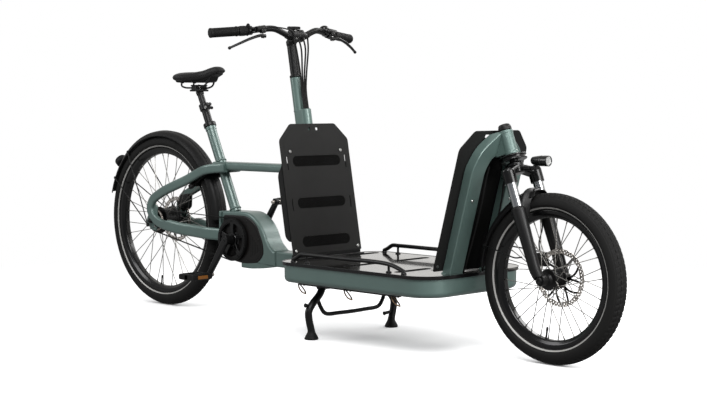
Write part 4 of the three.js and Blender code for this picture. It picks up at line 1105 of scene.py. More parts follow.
def pedal(name, side):
    """A platform pedal with ribbed rubber blocks and amber reflectors on its own axle."""
    near, far = 104, 194
    place = at(PEDALS[side] * [1, 0, 1])
    half_plate = [(-45, -10, 8), (-30, -11, 6), (30, -11, 6), (45, -10, 8)]
    plate = rounded(half_plate + [(-x, -z, r) for x, z, r in half_plate])
    ends = [prism(plate, *span_y(side, a, a + 7), "y", 2) for a in (near, far - 7)]
    barrel_profile = [(9, 0), (12, 3), (11, 30), (10, 60), (11.5, 84), (9, 90)]
    barrel = lathed((0, side * near, 0), (0, side * far, 0), barrel_profile, 40)
    bars = [
        box(x - 6.5, x + 6.5, *span_y(side, near + 3, far - 3), -10.6, 10.6, 3.5)
        for x in (-38.5, 38.5)
    ]
    make(
        f"{name}_pedal_cage", f"{name}_pedal", "plastic", *ends, barrel, *bars, frame_of=place,
        stands_for=f"{name}_pedal"
    )
    pads = []
    for x in (-24, 24):
        for z in (-9.5, 9.5):
            pads.append(box(x - 9, x + 9, *span_y(side, near + 5, far - 5), z - 2.2, z + 2.2, 1.4))
            low, high = (z - 3.4, z) if z < 0 else (z, z + 3.4)
            for k in range(9):
                a = near + 12 + k * 8
                pads.append(box(x - 8, x + 8, *span_y(side, a, a + 3.6), low, high, 0.8))
    make(f"{name}_pedal_rubbers", f"{name}_pedal", "rubber", *pads, frame_of=place)
    amber = [
        box(x - 1.4, x + 1.4, *span_y(side, near + 22, far - 22), -6.5, 6.5, 0.9)
        for x in (-45.2, 45.2)
    ]
    make(f"{name}_pedal_reflectors", f"{name}_pedal", "amber", *amber, frame_of=place)
    axle = rod((0, side * 62, 0), (0, side * (near + 2), 0), 6, edge=0.8)
    nut = rod((0, side * 93, 0), (0, side * 99, 0), 8.5, edge=1, sides=6)
    make(f"{name}_pedal_axle", f"{name}_pedal", "steel", axle, nut, frame_of=place)


# ---- fenders, lights, brakes and lock -------------------------------------------------------------
FENDER_DEPTH = 20
FENDER_RIB = rounded([(-1.2, -5, 1), (1.0, -3, 1), (1.0, 3, 1), (-1.2, 5, 1)], 3)


def on_circle(radius, degrees, y):
    turn = math.radians(degrees)
    return np.array([radius * math.cos(turn), y, radius * math.sin(turn)])


def fender(radius, half, start, end, thick=2.4):
    """A domed strip with deep sides and rolled edges around a wheel, between two angles."""
    turn = np.linspace(-1, 1, 33)
    crown = radius - FENDER_DEPTH * np.abs(turn) ** 4.2
    outer = np.c_[crown, half * turn]
    inner = np.c_[crown - thick, (half - 1.6) * turn]
    section = np.vstack([outer, inner[::-1]])
    rings = []
    for angle in np.radians(np.linspace(start, end, int((end - start) / 1.5) + 2)):
        rings.append(
            np.c_[section[:, 0] * math.cos(angle), section[:, 1], section[:, 0] * math.sin(angle)]
        )
    rolls = []
    for side in (-1, 1):
        path = [
            on_circle(radius - FENDER_DEPTH, angle, side * (half - 1.4))
            for angle in np.linspace(start, end, 80)
        ]
        rolls.append(swept(path, circle(1.8, 10), side=(0, 1, 0)))
    return merged(loft(rings), *rolls)


def rear_fender():
    place = at(REAR_AXLE)
    make(
        "rear_fender_shell", "frame", "plastic", fender(355, 36, 3, 163.4), frame_of=place,
        stands_for="rear_fender"
    )
    ridge = [on_circle(355.4, angle, 0) for angle in np.linspace(8, 160, 120)]
    make("rear_fender_rib", "frame", "plastic", swept(ridge, FENDER_RIB, side=(0, 1, 0)), frame_of=place)
    wires, clips = [], []
    for side in (-1, 1):
        eye = np.array([-6, side * 88.5, -16])
        for angle in (152, 128):
            foot = on_circle(338, angle, side * 36)
            wires.append(pipe([eye, eye + (foot - eye) * 0.5, foot], 2.3, 40, 12))
            clips.append(rod(foot + [0, -side * 2, 0], foot + [0, side * 2, 0], 6, edge=1))
        wires.append(cross_rod(eye[0], eye[2], *span_y(side, 85.5, 91), 7.5, edge=1))
    make("rear_fender_stays", "frame", "black_metal", *wires, frame_of=place)
    make("rear_fender_clips", "frame", "plastic", *clips, frame_of=place)


def rear_light():
    place = at(REAR_AXLE)
    base, tip = on_circle(354, 143, 0), on_circle(392, 143, 0)
    shell = [
        (12, 0), (15, 8), (22, 11), (25, 15), (25, 31), (24.2, 33), (22.5, 33.4), (22, 31.5), (0.1, 31.5)
    ]
    make(
        "rear_light_shell", "frame", "plastic", lathed(base, tip, shell, 64), frame_of=place,
        stands_for="rear_light"
    )
    lens = [(22, 30), (21.9, 33.5), (19, 36), (12, 37.4), (0.1, 37.8)]
    make("rear_light_lens", "frame", "tail_lens", lathed(base, tip, lens, 64), frame_of=place)


def cad_finish(node, finish, width=0.8):
    """Keeps a CAD node and gives it small rounded edges and a finish."""
    item = frame["nodes"][node]
    weld_points = item.modifiers.new("weld", "WELD")
    weld_points.merge_threshold = 0.00002
    flat = item.modifiers.new("planar", "DECIMATE")
    flat.decimate_type = "DISSOLVE"
    flat.angle_limit = math.radians(1.5)
    bevel = item.modifiers.new("edges", "BEVEL")
    bevel.width = width * MM
    bevel.segments = 3
    bevel.limit_method = "ANGLE"
    bevel.angle_limit = math.radians(28)
    bevel.harden_normals = True
    for polygon in item.data.polygons:
        polygon.use_smooth = True
    item.data.materials.clear()
    item.data.materials.append(FINISHES[finish].material)


def brakes():
    cad_finish("rear_brake_caliper", "gloss_black", 1.6)
    cad_finish("front_brake_caliper", "gloss_black", 1.4)
    rear = [bolt((x, 61.3, z), (0, 1, 0), 4, 3) for x, z in ((34, 418), (74, 418), (60, 390))]
    make("rear_caliper_bolts", "frame", "zinc", *rear)
    make(
        "rear_brake_hose", "frame", "rubber",
        pipe([(84, 55, 441), (120, 58, 452), (190, 52, 480), (290, 44, 522), (350, 36, 540)], 2.5, 8, 12)
    )
    fork_bolts = [bolt((x, 46.8, z), (0, 1, 0), 3.6, 2.6) for x, z in ((-18, -328), (-34, -328))]
    make("front_caliper_bolts", "fork_lowers", "zinc", *fork_bolts, frame_of=FORK)
    make(
        "front_brake_hose", "fork_lowers", "rubber",
        pipe(
            [
                (-26, 37, -312), (-24, 44, -280), (-12, 62, -240), (-9, 72, -200), (-4, 84, -150),
                (8, 88, -118)
            ],
            2.4, 8, 12
        ),
        frame_of=FORK
    )


def ring_lock():
    cad_finish("ring_lock", "plastic", 2.2)
    angle = 33
    barrel_at = on_circle(268, angle, -47)
    out = on_circle(1, angle + 90, 0) * [1, 0, 1]
    barrel = [(7, 0), (7, 2), (6.4, 2.8), (5, 2.8), (5, 1.6), (0.1, 1.6)]
    make(
        "lock_barrel", "frame", "zinc", lathed(barrel_at - out * -7.5, barrel_at + out * 12, barrel, 32),
        frame_of=at(REAR_AXLE)
    )


def axles():
    nut = [(9.5, 0), (10, 1), (10, 7), (8.5, 8.5), (6, 8.5), (6, 12), (5, 13)]
    nuts = [lathed((0, side * 76.5, 0), (0, side * 77.5, 0), nut, 6) for side in (-1, 1)]
    make(
        "rear_axle_and_nuts", "frame", "black_metal", cross_rod(0, 0, -82, 82, 5.9), *nuts,
        frame_of=at(REAR_AXLE), stands_for="rear_axle"
    )


rear_frame()
motor()
belt()
pulleys()
for crank_name, crank_side in (("right", -1), ("left", 1)):
    crank_arm(crank_name, crank_side)
    pedal(crank_name, crank_side)
rear_fender()
rear_light()
brakes()
ring_lock()
axles()


# ---- seat -----------------------------------------------------------------------------------------
COLLAR = 84
RAIL_Z = 862
LEVER_PIVOT = in_mm(JOINTS["seat_lever_open"]["pos_m"])


def lower_seatpost():
    """The shimmed lower tube in the seat tube, with its clamp collar."""
    profile = [
        (13.2, -1), (15, 0), (15, 199), (24, 200.6), (24.4, 202), (24.4, 214), (23.6, 216), (15.2, 216.4),
        (15, 217), (15, 271), (19.4, 272), (19.6, 273.5), (19.6, 294.5), (19, 296), (13, 296)
    ]
    at_collar = seat_point(COLLAR)
    make(
        "lower_seatpost_tube", "frame", "black_metal",
        lathed(seat_point(-200), at_collar, softened(profile, 0.8), 64), stands_for="lower_seatpost"
    )
    forward = np.array([SEAT_AXIS[2], 0, -SEAT_AXIS[0]])

    def point(ahead, y):
        return at_collar + forward * ahead + [0, y, 0]

    ears = [rod(point(15, y), point(32, y), 7, edge=1.5) for y in (-6, 6)]
    make("seat_collar_ears", "frame", "black_metal", *ears)
    pin = rod(point(27, -9.5), point(27, 10.5), 3.2, edge=0.5)
    nut = rod(point(27, 8.5), point(27, 12.5), 5.5, edge=0.6, sides=6)
    make("seat_collar_pin", "frame", "zinc", pin, nut)


def seatpost():
    """The sliding post and the two-part clamp that holds the saddle rails on its head."""
    post = rod(seat_point(-90), seat_point(153), 12.6, edge=0.6, sides=48)
    x = seat_point(160)[0]
    head = [(12.8, 0), (14.5, 3), (15.5, 14), (13, 20), (6, 22)]

    def plate(corners, low, high, edge):
        return prism(rounded(corners) + [x, RAIL_Z], low, high, "y", edge)

    cradle = merged(
        lathed(seat_point(136), seat_point(156), head, 40),
        plate([(-24, -14, 3), (26, -14, 3), (26, -6.6, 2), (-24, -6.6, 2)], -27, 27, 1.5),
        plate([(-20, 6.6, 2), (22, 6.6, 2), (18, 11.5, 3), (-16, 11.5, 3)], -27, 27, 1.5)
    )
    cheek = plate([(-15, -13, 5), (17, -13, 6), (14, 10, 4), (-12, 10, 4)], 15, 28, 2)
    bolts = merged(
        rod((x, 0, RAIL_Z - 20), (x, 0, RAIL_Z + 13), 4, edge=0.6, sides=20),
        bolt((x, 0, RAIL_Z - 17), (0, 0, -1), 5.5, 4)
    )
    make("seatpost_tube", "seat", "black_metal", post, stands_for="seatpost")
    make("saddle_clamp", "seat", "black_metal", cradle, cheek, mirrored(cheek))
    make("saddle_clamp_bolt", "seat", "zinc", bolts)


def seat_lever():
    """The quick lever on the seat collar."""
    place = at(LEVER_PIVOT * [1, 0, 1])
    blade = rounded(
        [(-8, -5, 4), (10, -6, 5), (40, -8, 4), (43, 0, 3), (38, 4, 3), (8, 5, 4), (-6, 5, 4)]
    )
    cam = cross_rod(0, 0, -19, -9.5, 6.5, edge=1)
    make("seat_lever_blade", "seat_lever", "zinc", cam, frame_of=place, stands_for="seat_lever")
    lever = prism(blade, -17.5, -12.5, "y", 1.4)
    make("seat_lever_handle", "seat_lever", "black_metal", lever, frame_of=place)


SADDLE = SimpleNamespace(tail=138, length=219, base=888)
CROWN_START = 0.42
CROWN_ROUND = 0.72


def saddle_section(t):
    """Half width, underside, and top of the saddle at t from tail (0) to nose (1), in mm."""
    x = t * SADDLE.length
    half = np.interp(x, [0, 8, 25, 60, 95, 130, 165, 205, 219], [66, 76, 82, 79, 58, 36, 27, 22, 17])
    top = np.interp(x, [0, 12, 40, 90, 130, 170, 200, 219], [31, 34, 35, 35, 41, 52, 55, 45])
    low = np.interp(x, [0, 20, 70, 120, 165, 219], [1, -3, -4, -2, 12, 31])
    return half, low, top


def soft_section(t):
    """The saddle section at t, averaged over a short stretch so that it changes smoothly."""
    return np.mean([saddle_section(np.clip(t + d, 0, 1)) for d in np.linspace(-0.05, 0.05, 7)], axis=0)


def saddle_cover_shape():
    """The rings of the crowned cover, and its edge as (x, half width, z) at each ring."""
    stations = np.r_[0, 0.006, 0.02, np.linspace(0.05, 0.95, 34), 0.975, 0.99, 1.0]
    swell = np.r_[0.8, 0.92, 0.98, np.ones(34), 0.93, 0.78, 0.5]
    turn = around(56)
    sine, cosine = np.sin(turn), np.cos(turn)
    rings, edges = [], []
    for t, full in zip(stations, swell):
        half, low, top = soft_section(t)
        middle = low + CROWN_START * (top - low)
        y = half * (0.55 + 0.45 * full) * np.sign(cosine) * np.abs(cosine) ** CROWN_ROUND
        up = (top - middle) * full * np.abs(sine) ** 0.85
        down = (middle - low) * full * np.abs(sine) ** 0.45
        z = np.where(sine >= 0, middle + up, middle - down)
        y = np.where(sine < 0, y * (1 - 0.14 * np.abs(sine)), y)
        channel = 4.5 * smoothstep((t - 0.12) / 0.15) * smoothstep((0.78 - t) / 0.2)
        z = z - np.where(sine > 0, channel * np.exp(-((y / 8) ** 2)), 0)
        rings.append(np.c_[np.full(len(turn), t * SADDLE.length), y, z])
        edges.append((t * SADDLE.length, half * (0.55 + 0.45 * full), middle))
    return rings, edges


def saddle_stitches():
    """Two rows of thread along the cover."""
    across = 0.62
    up = math.sqrt(max(1 - (across ** (1 / CROWN_ROUND)) ** 2, 0)) ** 0.85
    count = 46
    stitches = []
    for side in (-1, 1):
        for i in range(count):
            t = 0.06 + 0.84 * i / count
            half, low, top = soft_section(t)
            middle = low + CROWN_START * (top - low)
            x, y, z = t * SADDLE.length, side * (half * across), middle + (top - middle) * up - 0.1
            stitches.append(rod((x, y, z), (x + 2.6, y, z), 0.55, edge=0.3, sides=8))
    return stitches


def saddle():
    """A crowned cover over foam: full at the sit bones, pinched behind the nose, with a relief channel."""
    place = at((SADDLE.tail, 0, SADDLE.base))
    rings, edges = saddle_cover_shape()
    make(
        "saddle_cover", "seat", "vinyl", loft(rings), frame_of=place, stands_for="saddle", sharp=70,
        smooth=1
    )
    inner = edges[1:-1]
    piping = [(x, half - 0.2, z) for x, half, z in inner]
    piping += [(x, 0.2 - half, z) for x, half, z in reversed(inner)]
    closed_piping = smooth_path(piping + piping[:1], 3)
    make("saddle_piping", "seat", "vinyl", swept(closed_piping, circle(1.3, 10)), frame_of=place)
    make("saddle_stitches", "seat", "thread", *saddle_stitches(), frame_of=place)
    base = []
    for t in np.linspace(0.04, 0.93, 26):
        half, low = saddle_section(t)[:2]
        across = [-half * 0.8, half * 0.8, half * 0.74, -half * 0.74]
        base.append(
            np.c_[np.full(4, t * SADDLE.length), across, [low + 3, low + 3, low - 2.5, low - 2.5]]
        )
    make("saddle_base", "seat", "plastic", loft(base), frame_of=place, sharp=40)


def saddle_rails():
    """Two steel rails, their rubber sockets at the tail and the block that takes them at the nose."""
    rail = [
        (150, 30, 888), (145, 29, 871), (162, 25, 863.5), (190, 22, RAIL_Z), (250, 22, RAIL_Z),
        (276, 20, 871), (296, 13, 892)
    ]
    make("saddle_rails", "seat", "black_metal", both(pipe(rail, 3.5, 5, 16)))
    bumpers = [rod((150, side * 30, 880), (150, side * 30, 892), 7, edge=1.5) for side in (-1, 1)]
    block = rounded(
        [(268, 888, 6), (282, 880, 8), (304, 884, 8), (318, 908, 6), (300, 912, 3), (268, 896, 3)]
    )
    make("saddle_rail_sockets", "seat", "plastic", *bumpers, prism(block, -20, 20, "y", 4, 3))


# ---- column and handlebar -------------------------------------------------------------------------
HOUSING_TOP = 520
COLUMN_TOP = 640
GRIP_INNER = np.array([1, 180, 807.0])
GRIP_OUTER = np.array([-40, 335, 801.0])
CLAMP = (29, 0, 787)
BAR_RADIUS = 11


def on_bar(name, finish, *forms, **options):
    """A piece drawn in the steering column's frame that turns with the handlebar."""
    make(name, "handlebar_assembly", finish, *forms, frame_of=COLUMN, **options)


def column():
    """An oval housing that narrows to a round neck, and the shaft with its cable wheel inside."""
    housing = prism(stadium(14.75, 0, 35.25, 20.5, 24), 0, HOUSING_TOP, "z", (0.5, 1.6))
    neck_profile = [
        (14.2, HOUSING_TOP - 2), (20.4, HOUSING_TOP - 2), (20.4, COLUMN_TOP - 1.2), (19.4, COLUMN_TOP),
        (14.2, COLUMN_TOP)
    ]
    neck = turned(neck_profile, "z", 64, closed=True)
    bead = weld((0, 0, HOUSING_TOP + 0.5), (0, 0, 1), 20.3, 1.6)
    make(
        "steering_column_housing", "frame", "paint", housing, neck, bead, frame_of=COLUMN,
        stands_for="steering_column"
    )
    port = prism(stadium(37, 0, 12, 11.5, 20), HOUSING_TOP - 1, HOUSING_TOP + 1.6, "z", 0.8)
    make("cable_port_grommet", "frame", "rubber", port, frame_of=COLUMN)
    shaft = turned([(8, -52), (12.4, -51), (12.4, COLUMN_TOP - 1), (8, COLUMN_TOP - 1)], "z", 40)
    on_bar(
        "steering_shaft_rod", "black_metal", shaft, cable_wheel(-52, 36, 16), stands_for="steering_shaft"
    )


def cable_wheel(z, radius, height):
    profile = [
        (0.1, z), (radius - 1, z), (radius, z + 0.8), (radius, z + 2.4), (radius - 5, z + 5),
        (radius - 5, z + height - 5), (radius, z + height - 2.4), (radius, z + height - 0.8),
        (radius - 1, z + height), (0.1, z + height)
    ]
    return turned(softened(profile, 0.6, 2), "z", 72)


def stem():
    """A quill on the steering shaft with a neck and a four-bolt clamp round the bar."""
    top = COLUMN_TOP
    quill_profile = [
        (17, top + 0.3), (20.5, top + 1), (20.9, top + 3), (20.9, top + 8), (18.2, top + 10.5),
        (17.2, top + 11), (17, top + 14), (17, 756), (18.6, 762), (18.8, 774), (15, 777), (0.1, 777.5)
    ]
    quill = turned(softened(quill_profile), "z", 56)
    neck = rod((-4, 0, 767), CLAMP, 17.5, 19.5, edge=2, sides=48)
    clamp_profile = [
        (16.2, -27), (21.5, -27), (22.4, -25), (22.4, -4), (21.2, -2.5), (21.2, 2.5), (22.4, 4),
        (22.4, 25), (21.5, 27), (16.2, 27)
    ]
    clamp = turned(softened(clamp_profile, 0.8) + [(16.2, -27)], "y", 56, closed=True)
    on_bar(
        "stem_body", "black_metal", quill, neck, shifted(clamp, CLAMP[0], 0, CLAMP[2]), stands_for="stem"
    )
    bolts = [
        bolt((CLAMP[0] + 18, y, CLAMP[2] + z), (1, 0, 0), 4, 4.5)
        for y in (-17, 17)
        for z in (-14, 14)
    ]
    bolts.append(bolt((-1, 0, 777), (0, 0, 1), 6.5, 2.5))
    on_bar("stem_bolts", "zinc", *bolts)


def grip_point(along, side=1):
    point = GRIP_INNER + (GRIP_OUTER - GRIP_INNER) * along
    return point * [1, side, 1]


def handlebar():
    rise = [(29, 36, 787.5), (28, 100, 809), (14, 145, 809.5), GRIP_INNER]
    bend = pipe([CLAMP] + rise, BAR_RADIUS, 5, 32)
    straight = rod(GRIP_INNER, grip_point(0.999), BAR_RADIUS, sides=32)
    bulge = turned([(11, -48), (13, -42), (15.9, -34), (15.9, 34), (13, 42), (11, 48)], "y", 48)
    make(
        "handlebar_tube", "handlebar_assembly", "black_metal", both(bend), both(straight),
        shifted(bulge, CLAMP[0], 0, CLAMP[2]), frame_of=COLUMN, stands_for="handlebar"
    )


def sleeve(start, end, side, profile, sides=48):
    """A (radius, height in mm) profile turned about a stretch of the grip's line."""
    low, high = grip_point(start, side), grip_point(end, side)
    return lathed(low, high, profile, sides)


def grip(name, side, start):
    length = np.linalg.norm(grip_point(1.02) - grip_point(start))
    profile = [(12, 0), (17.2, 0.4), (18, 2), (18, 5), (16, 6.5)]
    position = 8.0
    while position < length - 12:
        profile += [
            (15.6, position), (16.6, position + 0.7), (16.6, position + 2.6), (15.6, position + 3.3)
        ]
        position += 4.4
    profile += [(16.4, length - 9), (17.2, length - 7), (17.2, length - 1.5), (15, length), (0.1, length)]
    make(
        f"{name}_grip_sleeve", "handlebar_assembly", "rubber", sleeve(start, 1.02, side, profile),
        frame_of=COLUMN, stands_for=f"{name}_grip", sharp=50
    )
    low, high = grip_point(1.0, side), grip_point(1.02, side)
    cap = [(12.5, 2.2), (12.5, 3.4), (11, 4.2), (0.1, 4.4)]
    make(f"{name}_grip_cap", "handlebar_assembly", "plastic", lathed(low, high, cap, 40), frame_of=COLUMN)


def twist_shifter():
    """A ribbed rubber barrel that turns beside the right grip, with its collar and cable boss."""
    low, high = grip_point(0.14, -1), grip_point(0.34, -1)
    length = np.linalg.norm(high - low)
    turn = around(120)
    rings = []
    for s in np.linspace(0, 1, 24):
        ribs = 0.8 * smoothstep((np.cos(turn * 20) + 0.2) / 0.8)
        ribs = ribs * smoothstep((s - 0.1) / 0.1) * smoothstep((0.9 - s) / 0.1)
        radius = 16.6 + ribs + 0.6 * math.sin(math.pi * s)
        rings.append(np.c_[radius * np.cos(turn), radius * np.sin(turn), np.full(120, s * length)])
    make(
        "twist_shifter_grip", "gear_twist_shifter", "rubber", moved(loft(rings), aim(low, high)),
        frame_of=COLUMN, stands_for="gear_twist_shifter", sharp=60
    )
    collar = [(12, 0), (17.5, 0.5), (18.5, 2), (18.5, 4), (17, 4.6), (12, 4.6)]
    on_bar("shifter_collar", "plastic", lathed(grip_point(0.105, -1), grip_point(0.135, -1), collar, 56))
    boss = rod(grip_point(0.102, -1) + [8, 0, 9], grip_point(0.134, -1) + [8, 0, 9], 15, edge=2.5)
    on_bar("shifter_cable_boss", "plastic", boss)


def bell():
    """A domed striker bell on the left of the bar."""
    foot, top = np.array([6, 166, 818]), np.array([6, 166, 819])
    clamp = lathed((7, 162, 808), (6, 170, 808), [(11.2, 0), (14, 0), (14, 8), (11.2, 8)], 40)
    dome = [(4, 0), (15, 1), (17, 3), (17, 6), (15.5, 11), (11, 15), (5, 17), (0.1, 17.5)]
    make(
        "bell_dome", "handlebar_assembly", "gloss_black", clamp, lathed(foot, top, dome, 48),
        frame_of=COLUMN
    )


def brake_cylinder(name, side):
    """A clamp band with a tilted fluid reservoir beside it and a lug for the lever's pivot."""
    s = np.array([1, side, 1])
    band_profile = [(11.2, 0), (15.5, 0.5), (16.2, 2), (16.2, 12.5), (15.5, 14), (11.2, 14.5)]
    clamp = lathed(grip_point(0.01, side), grip_point(0.1, side), band_profile, 48)
    tank = [(8.5, -3), (11, -1), (11, 38), (9, 41), (6.5, 42), (6.5, 50), (3, 51)]
    reservoir = lathed(np.array([37, 190, 802]) * s, np.array([37, 150, 808]) * s, tank, 36)
    bridge = box(9, 36, *span_y(side, 181, 194), 797.5, 809.5, 2)
    lug = box(34, 52, *span_y(side, 159, 177), 788, 802, 3)
    on_bar(
        f"{name}_brake_master_cylinder", "gloss_black", clamp, reservoir, bridge, lug,
        stands_for=f"{name}_brake_perch"
    )
    screws = [
        bolt(np.array([37, 176, 814.6]) * s, (0, 0, 1), 3, 1.6),
        bolt(np.array([20, 187.5, 809]) * s, (0, 0, 1), 3.4, 2)
    ]
    on_bar(f"{name}_brake_screws", "zinc", *screws)


def brake_control(name, side):
    """A hydraulic brake: its cylinder on the bar, a bowed lever blade with a ball end, and its hose."""
    s = np.array([1, side, 1])
    body = f"{name}_brake_lever"
    brake_cylinder(name, side)
    bow = [(43, 164, 778), (50, 185, 778), (44, 225, 768), (30, 268, 752), (14, 303, 738)]
    path = smooth_path([np.array(p) * s for p in bow], 5)
    turn = around(20)

    def section(t):
        wide, thick = 8.6 - 3.4 * t, 5.6 - 1.6 * t
        return np.c_[wide * np.cos(turn), thick * np.sin(turn)]

    blade = swept(path, section, side=(0.2, 0.1 * side, 0.9))
    tip = np.array(bow[-1]) * s
    ball = [(0.1, -6.2), (3.4, -5.2), (5.4, -2.6), (6, 0), (5.4, 2.6), (3.4, 5.2), (0.1, 6.2)]
    knob = lathed(tip, tip + (tip - path[-3]), ball, 24)
    boss = box(35, 52, *span_y(side, 159.5, 174.5), 771, 784, 3)
    pin = rod(np.array([43.5, 167, 770.2]) * s, np.array([43.5, 167, 787]) * s, 3.2, edge=0.5)
    make(f"{name}_brake_blade", body, "black_metal", blade, knob, boss, frame_of=COLUMN, stands_for=body)
    make(f"{name}_brake_lever_pin", body, "zinc", pin, frame_of=COLUMN)
    hose = [(37, 142, 809), (44, 112, 811), (60, 78, 804), (66, 52, 794), (55, 36, 777)]
    on_bar(f"{name}_brake_line", "rubber", pipe([np.array(p) * s for p in hose], 2.4, 4, 12))


def display():
    """A handlebar computer: a bevelled case on a bracket, a dark screen, and its keys."""
    tilt = Matrix.Translation((22, 0, 812)) @ Matrix.Rotation(math.radians(12), 4, "Y")
    place = COLUMN @ tilt
    case = prism(rectangle(22, 16, 8), 0, 9.8, "z", (1.5, 2.6), 4)
    bracket = merged(
        box(-8, 8, -6, 6, -14, 1, 2),
        shifted(turned([(11.5, -6), (14, -6), (14, 6), (11.5, 6)], "y", 40, closed=True), 5, 0, -24)
    )
    make(
        "display_case", "handlebar_assembly", "plastic", case, bracket, frame_of=place,
        stands_for="display"
    )
    screen = prism(
        rounded([(-14, -12.5, 4), (18, -12.5, 4), (18, 12.5, 4), (-14, 12.5, 4)]), 9.2, 10.3, "z", 0.4
    )
    make("display_screen", "handlebar_assembly", "screen", screen, frame_of=place)
    keys = [prism(circle(2.6, 24, (-17.5, y)), 9.0, 10.9, "z", 0.5) for y in (-7, 0, 7)]
    make("display_keys", "handlebar_assembly", "rubber", *keys, frame_of=place)


def control_cables():
    """Four hoses from the bar down into the housing's port."""
    hoses = []
    for y in (-34, -12, 12, 34):
        path = [
            (52, y, 776), (62 - abs(y) / 4, y * 0.85, 735), (44, y * 0.45, 650), (36, y * 0.3, 590),
            (36, y * 0.27, HOUSING_TOP + 0.4)
        ]
        hoses.append(pipe(path, 3.1, 4, 12))
    low, high = COLUMN @ Vector((38, 0, 545)), COLUMN @ Vector((52, 0, 770))
    make(
        "control_hoses", ("frame", "handlebar_assembly", low, high), "rubber", *hoses, frame_of=COLUMN,
        stands_for="control_cables"
    )


lower_seatpost()
seatpost()
seat_lever()
saddle()
saddle_rails()
column()
stem()
handlebar()
grip("right", -1, 0.36)
grip("left", 1, 0.14)
twist_shifter()
bell()
brake_control("right", -1)
brake_control("left", 1)
display()
control_cables()


# ---- boards and battery -----------------------------------------------------------------------------
BOARD = SimpleNamespace(back=53.5, face=56.5, half=166)
FRONT_BOARD = at((1588, 0, 262)) @ Matrix.Rotation(math.radians(15.77), 4, "Y")
FRONT_HALF = 165


def slot(across, up, half_length, radius, low, high, edge=0.0):
    """A round-ended bar across the bicycle, lying in a board."""
    return prism(stadium(across, up, half_length, radius), low, high, "x", edge)


def rear_board():
    """A coated sheet with three padded recesses, a lifting hole and strap slits."""
    outline = rounded(two_sided([(BOARD.half, 3, 4), (BOARD.half, 407, 10), (108, 464, 8)]), 6)
    sheet = prism(outline, BOARD.back, BOARD.face, "x", 0.9)
    recesses = [slot(0, z, 115, 19, BOARD.face - 1.6, BOARD.face + 5) for z in (47, 183, 331)]
    holes = [slot(y, 445, 6, 5.9, 0, 100) for y in (-18, 18)]
    slits = [
        box(0, 100, side * 140 - 2.4, side * 140 + 2.4, low, high, 0.4)
        for low, high in ((158, 200), (302, 348))
        for side in (-1, 1)
    ]
    make(
        "rear_board_sheet", "frame", "board", sheet, frame_of=COLUMN, stands_for="rear_board",
        cuts=recesses + holes + slits
    )
    pads, ribs = [], []
    for z in (47, 183, 331):
        pads.append(slot(0, z, 114.4, 18.4, BOARD.face - 1.7, BOARD.face - 0.9, 0.3))
        for k in range(-3, 4):
            reach = 112 - abs(k) * 2.2
            ribs.append(slot(0, z + k * 4.6, reach, 1.3, BOARD.face - 1, BOARD.face - 0.2, 0.3))
    make("rear_board_pads", "frame", "pad", *pads, *ribs, frame_of=COLUMN)
    screws = [
        bolt((BOARD.face, side * y, z), (1, 0, 0), 6, 3)
        for y, z in ((122, 366), (150, 16.7))
        for side in (-1, 1)
    ]
    make("rear_board_screws", "frame", "zinc", *screws, frame_of=COLUMN)
    foot = merged(box(926, 938, -162, 162, 262.2, 276, 1.5), box(938, 958, -162, 162, 262.2, 265, 1))
    make("rear_board_foot", "frame", "black_metal", foot)


def battery():
    side = rounded(
        [(BOARD.back - 0.3, 50, 4), (36, 52, 8), (20, 70, 14), (20, 290, 14), (BOARD.back - 0.3, 328, 4)],
        8
    )
    body = prism(side, -163, 163, "y", 5, 4)
    notch = box(-20, 50.3, -21.2, 21.2, 0, 400, 1)
    seams = [box(0, 100, y - 0.5, y + 0.5, 40, 340, 0.2) for y in (-120, 120)]
    vents = [
        box(0, 23, y - 16, y + 16, z - 1.2, z + 1.2, 0.3)
        for y in (-70, 70)
        for z in range(230, 281, 9)
    ]
    make(
        "battery_shell", "frame", "plastic", body, frame_of=COLUMN, stands_for="battery_case",
        cuts=[notch] + seams + vents
    )
    lock = [(0.1, -1), (9, -1), (9, 1.6), (8, 2.4), (5, 2.4), (4.6, 1.2), (0.1, 1.2)]
    make(
        "battery_lock", "frame", "zinc", lathed((20.5, -90, 120), (19, -90, 120), lock, 32),
        frame_of=COLUMN
    )
    screws = [bolt((20.2, y, z), (-1, 0, 0), 3, 1.4) for y in (-140, 140) for z in (84, 276)]
    make("battery_screws", "frame", "zinc", *screws, frame_of=COLUMN)


def front_board():
    outline = rounded(two_sided([(FRONT_HALF, 8, 8), (FRONT_HALF, 409, 12), (107, 468, 10)]), 6)
    sheet = prism(outline, -3, 0, "x", 0.9)
    make(
        "front_board_sheet", "frame", "board", sheet, frame_of=FRONT_BOARD, stands_for="front_board",
        cuts=[slot(0, 450, 57, 5.5, -20, 20)]
    )
    brackets, screws = [], []
    for side in (-1, 1):
        y = side * 150
        brackets.append(box(-5.4, -2.9, y - 12, y + 12, 10, 34, 0.8))
        brackets.append(box(-14, -3, y - 12, y + 12, 9.6, 12.4, 0.8))
        screws.append(bolt((-5.4, y, 25), (-1, 0, 0), 5, 3.2))
        screws.append(rod((-1, y, 25), (2.6, y, 25), 5.4, edge=0.6, sides=6))
    make("front_board_brackets", "frame", "zinc", *brackets, frame_of=FRONT_BOARD)
    make("front_board_screws", "frame", "zinc", *screws, frame_of=FRONT_BOARD)


# ---- deck -----------------------------------------------------------------------------------------
DECK_TOP = 262
PANEL_LOW = 252
TUB_LOW = 192
TUB_TOP = 251.5


def deck_plan(half, margin):
    front, rear, corner = 1650 - margin, 930 + margin, 60
    corners = [
        (rear, corner - half, 8), (rear + 36, -half, 40), (front - corner, -half, 60),
        (front, corner - half, 60)
    ]
    return rounded(corners + [(x, -y, r) for x, y, r in reversed(corners)], 10)


def across_deck(x, y, half_length, radius, low, high, edge=0.0):
    return prism(stadium(y, x, half_length, radius)[::-1, ::-1], low, high, "z", edge)


